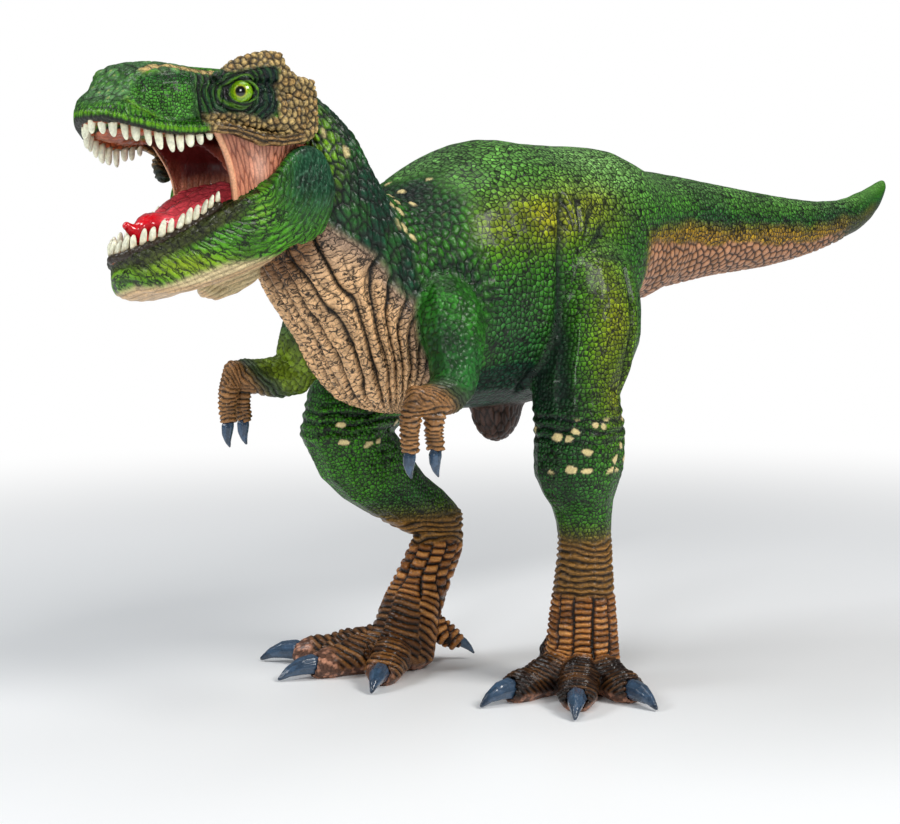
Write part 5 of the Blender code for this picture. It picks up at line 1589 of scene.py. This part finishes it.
ivory_finish = varnished("ivory_varnish", fine=1500.0, depth=0.00003, gloss=(0.22, 0.5), coat=0.4)
upper_lean = (LEAN, 8.0, 8.0)
lower_lean = (JAW_LEAN, 9.0, 2.5)
gum("upper_gum", UPPER_ARCH, "upper_teeth", "figure", 0.6, upper_lean, UPPER_GUM_DARK, 101)
gum("lower_gum", LOWER_ARCH, "lower_teeth", "jaw", -0.6, lower_lean, LOWER_GUM_DARK, 102)
pegs("upper_pegs", UPPER_ARCH, UPPER_COUNT, UPPER_LENGTHS, -1, 0.90, 0.07, upper_lean,
     "upper_teeth", "figure", 103)
pegs("lower_pegs", LOWER_ARCH, LOWER_COUNT, LOWER_LENGTHS, 1, 0.84, 0.24, lower_lean,
     "lower_teeth", "jaw", 104)


# Tongue
# A soft red tongue lies in the trough, netted with dark cracks; its glossy tip curls up behind
# the front teeth.

TONGUE_GRAIN = 0.00025
TONGUE_ROSE = paint(240, 84, 96)
TONGUE_WASH = paint(70, 6, 18)
TONGUE_RED = paint(214, 18, 36)
TONGUE_LINES = (((27.5, -8.0, 0, 2.2), (22.0, -5.2, 0, 2.9), (16.0, -2.4, 0, 3.1),
                 (10.0, -0.6, 0, 3.0)),
                ((26.5, -7.2, 3.0, 1.9), (21.0, -4.4, 4.2, 2.4), (15.5, -1.9, 5.0, 2.5),
                 (10.0, -0.6, 4.6, 2.3)))
TONGUE_TIP = ((28.5, -9.0, 0, 1.6), (31.6, -8.4, -0.5, 1.3), (33.0, -6.9, -1.0, 1.15),
              (34.0, -6.2, -1.2, 1.0))

lumps = [cad_solid("tongue"), rope(from_hinge(TONGUE_LINES[0])), rope(from_hinge(TONGUE_TIP))]
lumps += [rope(from_hinge(TONGUE_LINES[1], hand)) for hand in (1, -1)]
tongue = Casting("tongue_blank", [(0, lump) for lump in lumps], TONGUE_GRAIN, 14)
spot = tongue.points
forward = (hinge[1] - spot[:, 1]) / MM
net = Scales(stretched(spot, (0, 1, -0.4), 1.5), 0.0018, 111)
colour = TONGUE_ROSE * lit(net, 0.85, 1.12)
tongue.lay(np.ones(len(spot)), MM * 0.14 * (net.dome - 0.6), colour, 0.15)
tongue.stain(0.55 * net.gap(0.03, 0.16) * ease(forward, 30, 27), TONGUE_WASH)
tongue.crack(ease(forward, 30, 27), spot / 0.0020, 0.2)
tongue.stain(ease(forward, 27.5, 30.5), TONGUE_RED)
raise_surface(tongue)
cut_piece(tongue, "tongue_skin", np.ones(len(tongue.quads), bool),
          varnished("tongue_gloss", depth=0.00002, gloss=(0.12, 0.4), coat=0.9), "jaw",
          ["tongue"])


# Eyes
# Glossy balls seated in the lids: black pupil, lime iris with dark flecks and a dark rim, all
# hand painted under a thick clear varnish.

EYE_RINGS = 40
EYE_SIDES = 56
PUPIL_ANGLE = 0.40
IRIS_ANGLE = 1.12
IRIS_LIME = paint(126, 178, 18)
IRIS_GOLD = paint(206, 200, 40)
IRIS_RIM = paint(14, 34, 12)
eye_finish = varnished("eye_gloss", fine=3000.0, depth=0.000004, gloss=(0.06, 0.25), coat=1.0)
for side, hand in (("left", 1), ("right", -1)):
    gaze = Vector((-EYE_GAZE[0] * hand, EYE_GAZE[1], EYE_GAZE[2])).normalized()
    across = gaze.cross(Vector((0, 0, 1))).normalized()
    rise = across.cross(gaze)
    centre = Vector(from_hinge(EYE_PLACE, hand)[0])
    places = [centre + gaze * EYE_BALL * MM * 1.05]
    angles = [0.0]
    turns = [0.0]
    for ring in range(1, EYE_RINGS):
        angle = math.pi * ring / EYE_RINGS
        bulge = 1 + 0.05 * math.exp(-(angle / 0.7) ** 2)
        for i in range(EYE_SIDES):
            turn = math.tau * i / EYE_SIDES
            spoke = across * math.cos(turn) + rise * math.sin(turn)
            places.append(centre + (gaze * math.cos(angle) + spoke * math.sin(angle))
                          * EYE_BALL * MM * bulge)
            angles.append(angle)
            turns.append(turn)
    places.append(centre - gaze * EYE_BALL * MM)
    angles = np.array(angles + [math.pi])
    turns = np.array(turns + [0.0])
    faces = [(0, 1 + i, 1 + (i + 1) % EYE_SIDES) for i in range(EYE_SIDES)]
    for ring in range(EYE_RINGS - 2):
        low = 1 + ring * EYE_SIDES
        faces += [(low + i, low + EYE_SIDES + i, low + EYE_SIDES + (i + 1) % EYE_SIDES,
                   low + (i + 1) % EYE_SIDES) for i in range(EYE_SIDES)]
    last = len(places) - 1
    low = last - EYE_SIDES
    faces += [(low + i, last, low + (i + 1) % EYE_SIDES) for i in range(EYE_SIDES)]
    spokes = np.sin(turns * 19 + 3 * np.sin(turns * 5))
    flecks = 0.5 + 0.5 * spokes * np.sin(angles * 17 + 2 * np.sin(turns * 3))
    colours = IRIS_LIME * (0.35 + 0.9 * flecks)[:, None]
    colours = blend_in(colours, 0.6 * ease(angles, 0.62, 0.42), IRIS_GOLD)
    colours = blend_in(colours, ease(angles, IRIS_ANGLE - 0.12, IRIS_ANGLE), IRIS_RIM)
    colours = colours * ease(angles, PUPIL_ANGLE - 0.03, PUPIL_ANGLE + 0.05)[:, None]
    eye = coloured(side + "_eye_ball", [p[:] for p in places], faces, colours, 0.1, eye_finish)
    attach(eye, "figure")
    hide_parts(side + "_eye")


# Claws
# Slate blue horn, glossy, with fine streaks along it and a brown cuticle where each leaves its
# toe or finger.

CLAW_GRAIN = 0.0002
SLATE = paint(58, 80, 104)
CLAW_TIP = paint(28, 32, 40)
CUTICLE = paint(50, 32, 20)
claw_finish = varnished("claw_gloss", fine=1800.0, depth=0.00002, gloss=(0.14, 0.4), coat=0.7)
claws = [side + "_" + place + "_claw" for side in ("left", "right")
         for place in ("inner", "middle", "outer", "hallux", "front_finger", "rear_finger")]
for number, part in enumerate(claws):
    claw = Casting(part + "_blank", [(0, cad_solid(part))], CLAW_GRAIN, 10)
    spot = claw.points
    centre = spot.mean(0)
    run = np.linalg.svd(spot - centre, full_matrices=False)[2][0]
    host = part.split("_")[0] + ("_arm" if "finger" in part else "_leg")
    low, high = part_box(host)
    heart = (np.array(low) + np.array(high)) / 2
    run *= np.sign(run @ (centre - heart))
    way = (spot - centre) @ run
    way = (way - way.min()) / np.ptp(way)
    horn = Scales(stretched(spot, run, 8.0), 0.0005, 120 + number)
    colour = SLATE * lit(horn, 0.6, 1.15)
    colour = blend_in(colour, 0.55 * ease(way, 0.75, 1.0), CLAW_TIP)
    colour = blend_in(colour, ease(way, 0.16, 0.05), CUTICLE)
    claw.lay(np.ones(len(spot)), MM * 0.05 * (horn.dome - 0.5), colour, 0.25)
    raise_surface(claw)
    cut_piece(claw, part + "_horn", np.ones(len(claw.quads), bool), claw_finish, "figure", [part])


# Jaw pin
# A plain turned steel pin, hidden between the lobes of the jaw.

steel = bpy.data.materials.new("turned_steel")
steel.use_nodes = True
tree = steel.node_tree
shader = tree.nodes["Principled BSDF"]
where = node(tree, "ShaderNodeTexCoord")
turned = node(tree, "ShaderNodeMapping", i0=where.outputs["Object"], i3=(6000.0, 60.0, 60.0))
lines = node(tree, "ShaderNodeTexNoise", i0=turned.outputs[0], i2=1.0)
sheen = node(tree, "ShaderNodeMapRange", i0=lines.outputs[0], i3=0.25, i4=0.5)
bump = node(tree, "ShaderNodeBump", i0=0.3, i1=0.00002, i3=lines.outputs[0])
tree.links.new(sheen.outputs[0], shader.inputs["Roughness"])
tree.links.new(bump.outputs[0], shader.inputs["Normal"])
shader.inputs["Base Color"].default_value = (0.55, 0.55, 0.56, 1)
shader.inputs["Metallic"].default_value = 1.0
for slot in frame["nodes"]["jaw_pin"].material_slots:
    slot.material = steel


low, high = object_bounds()
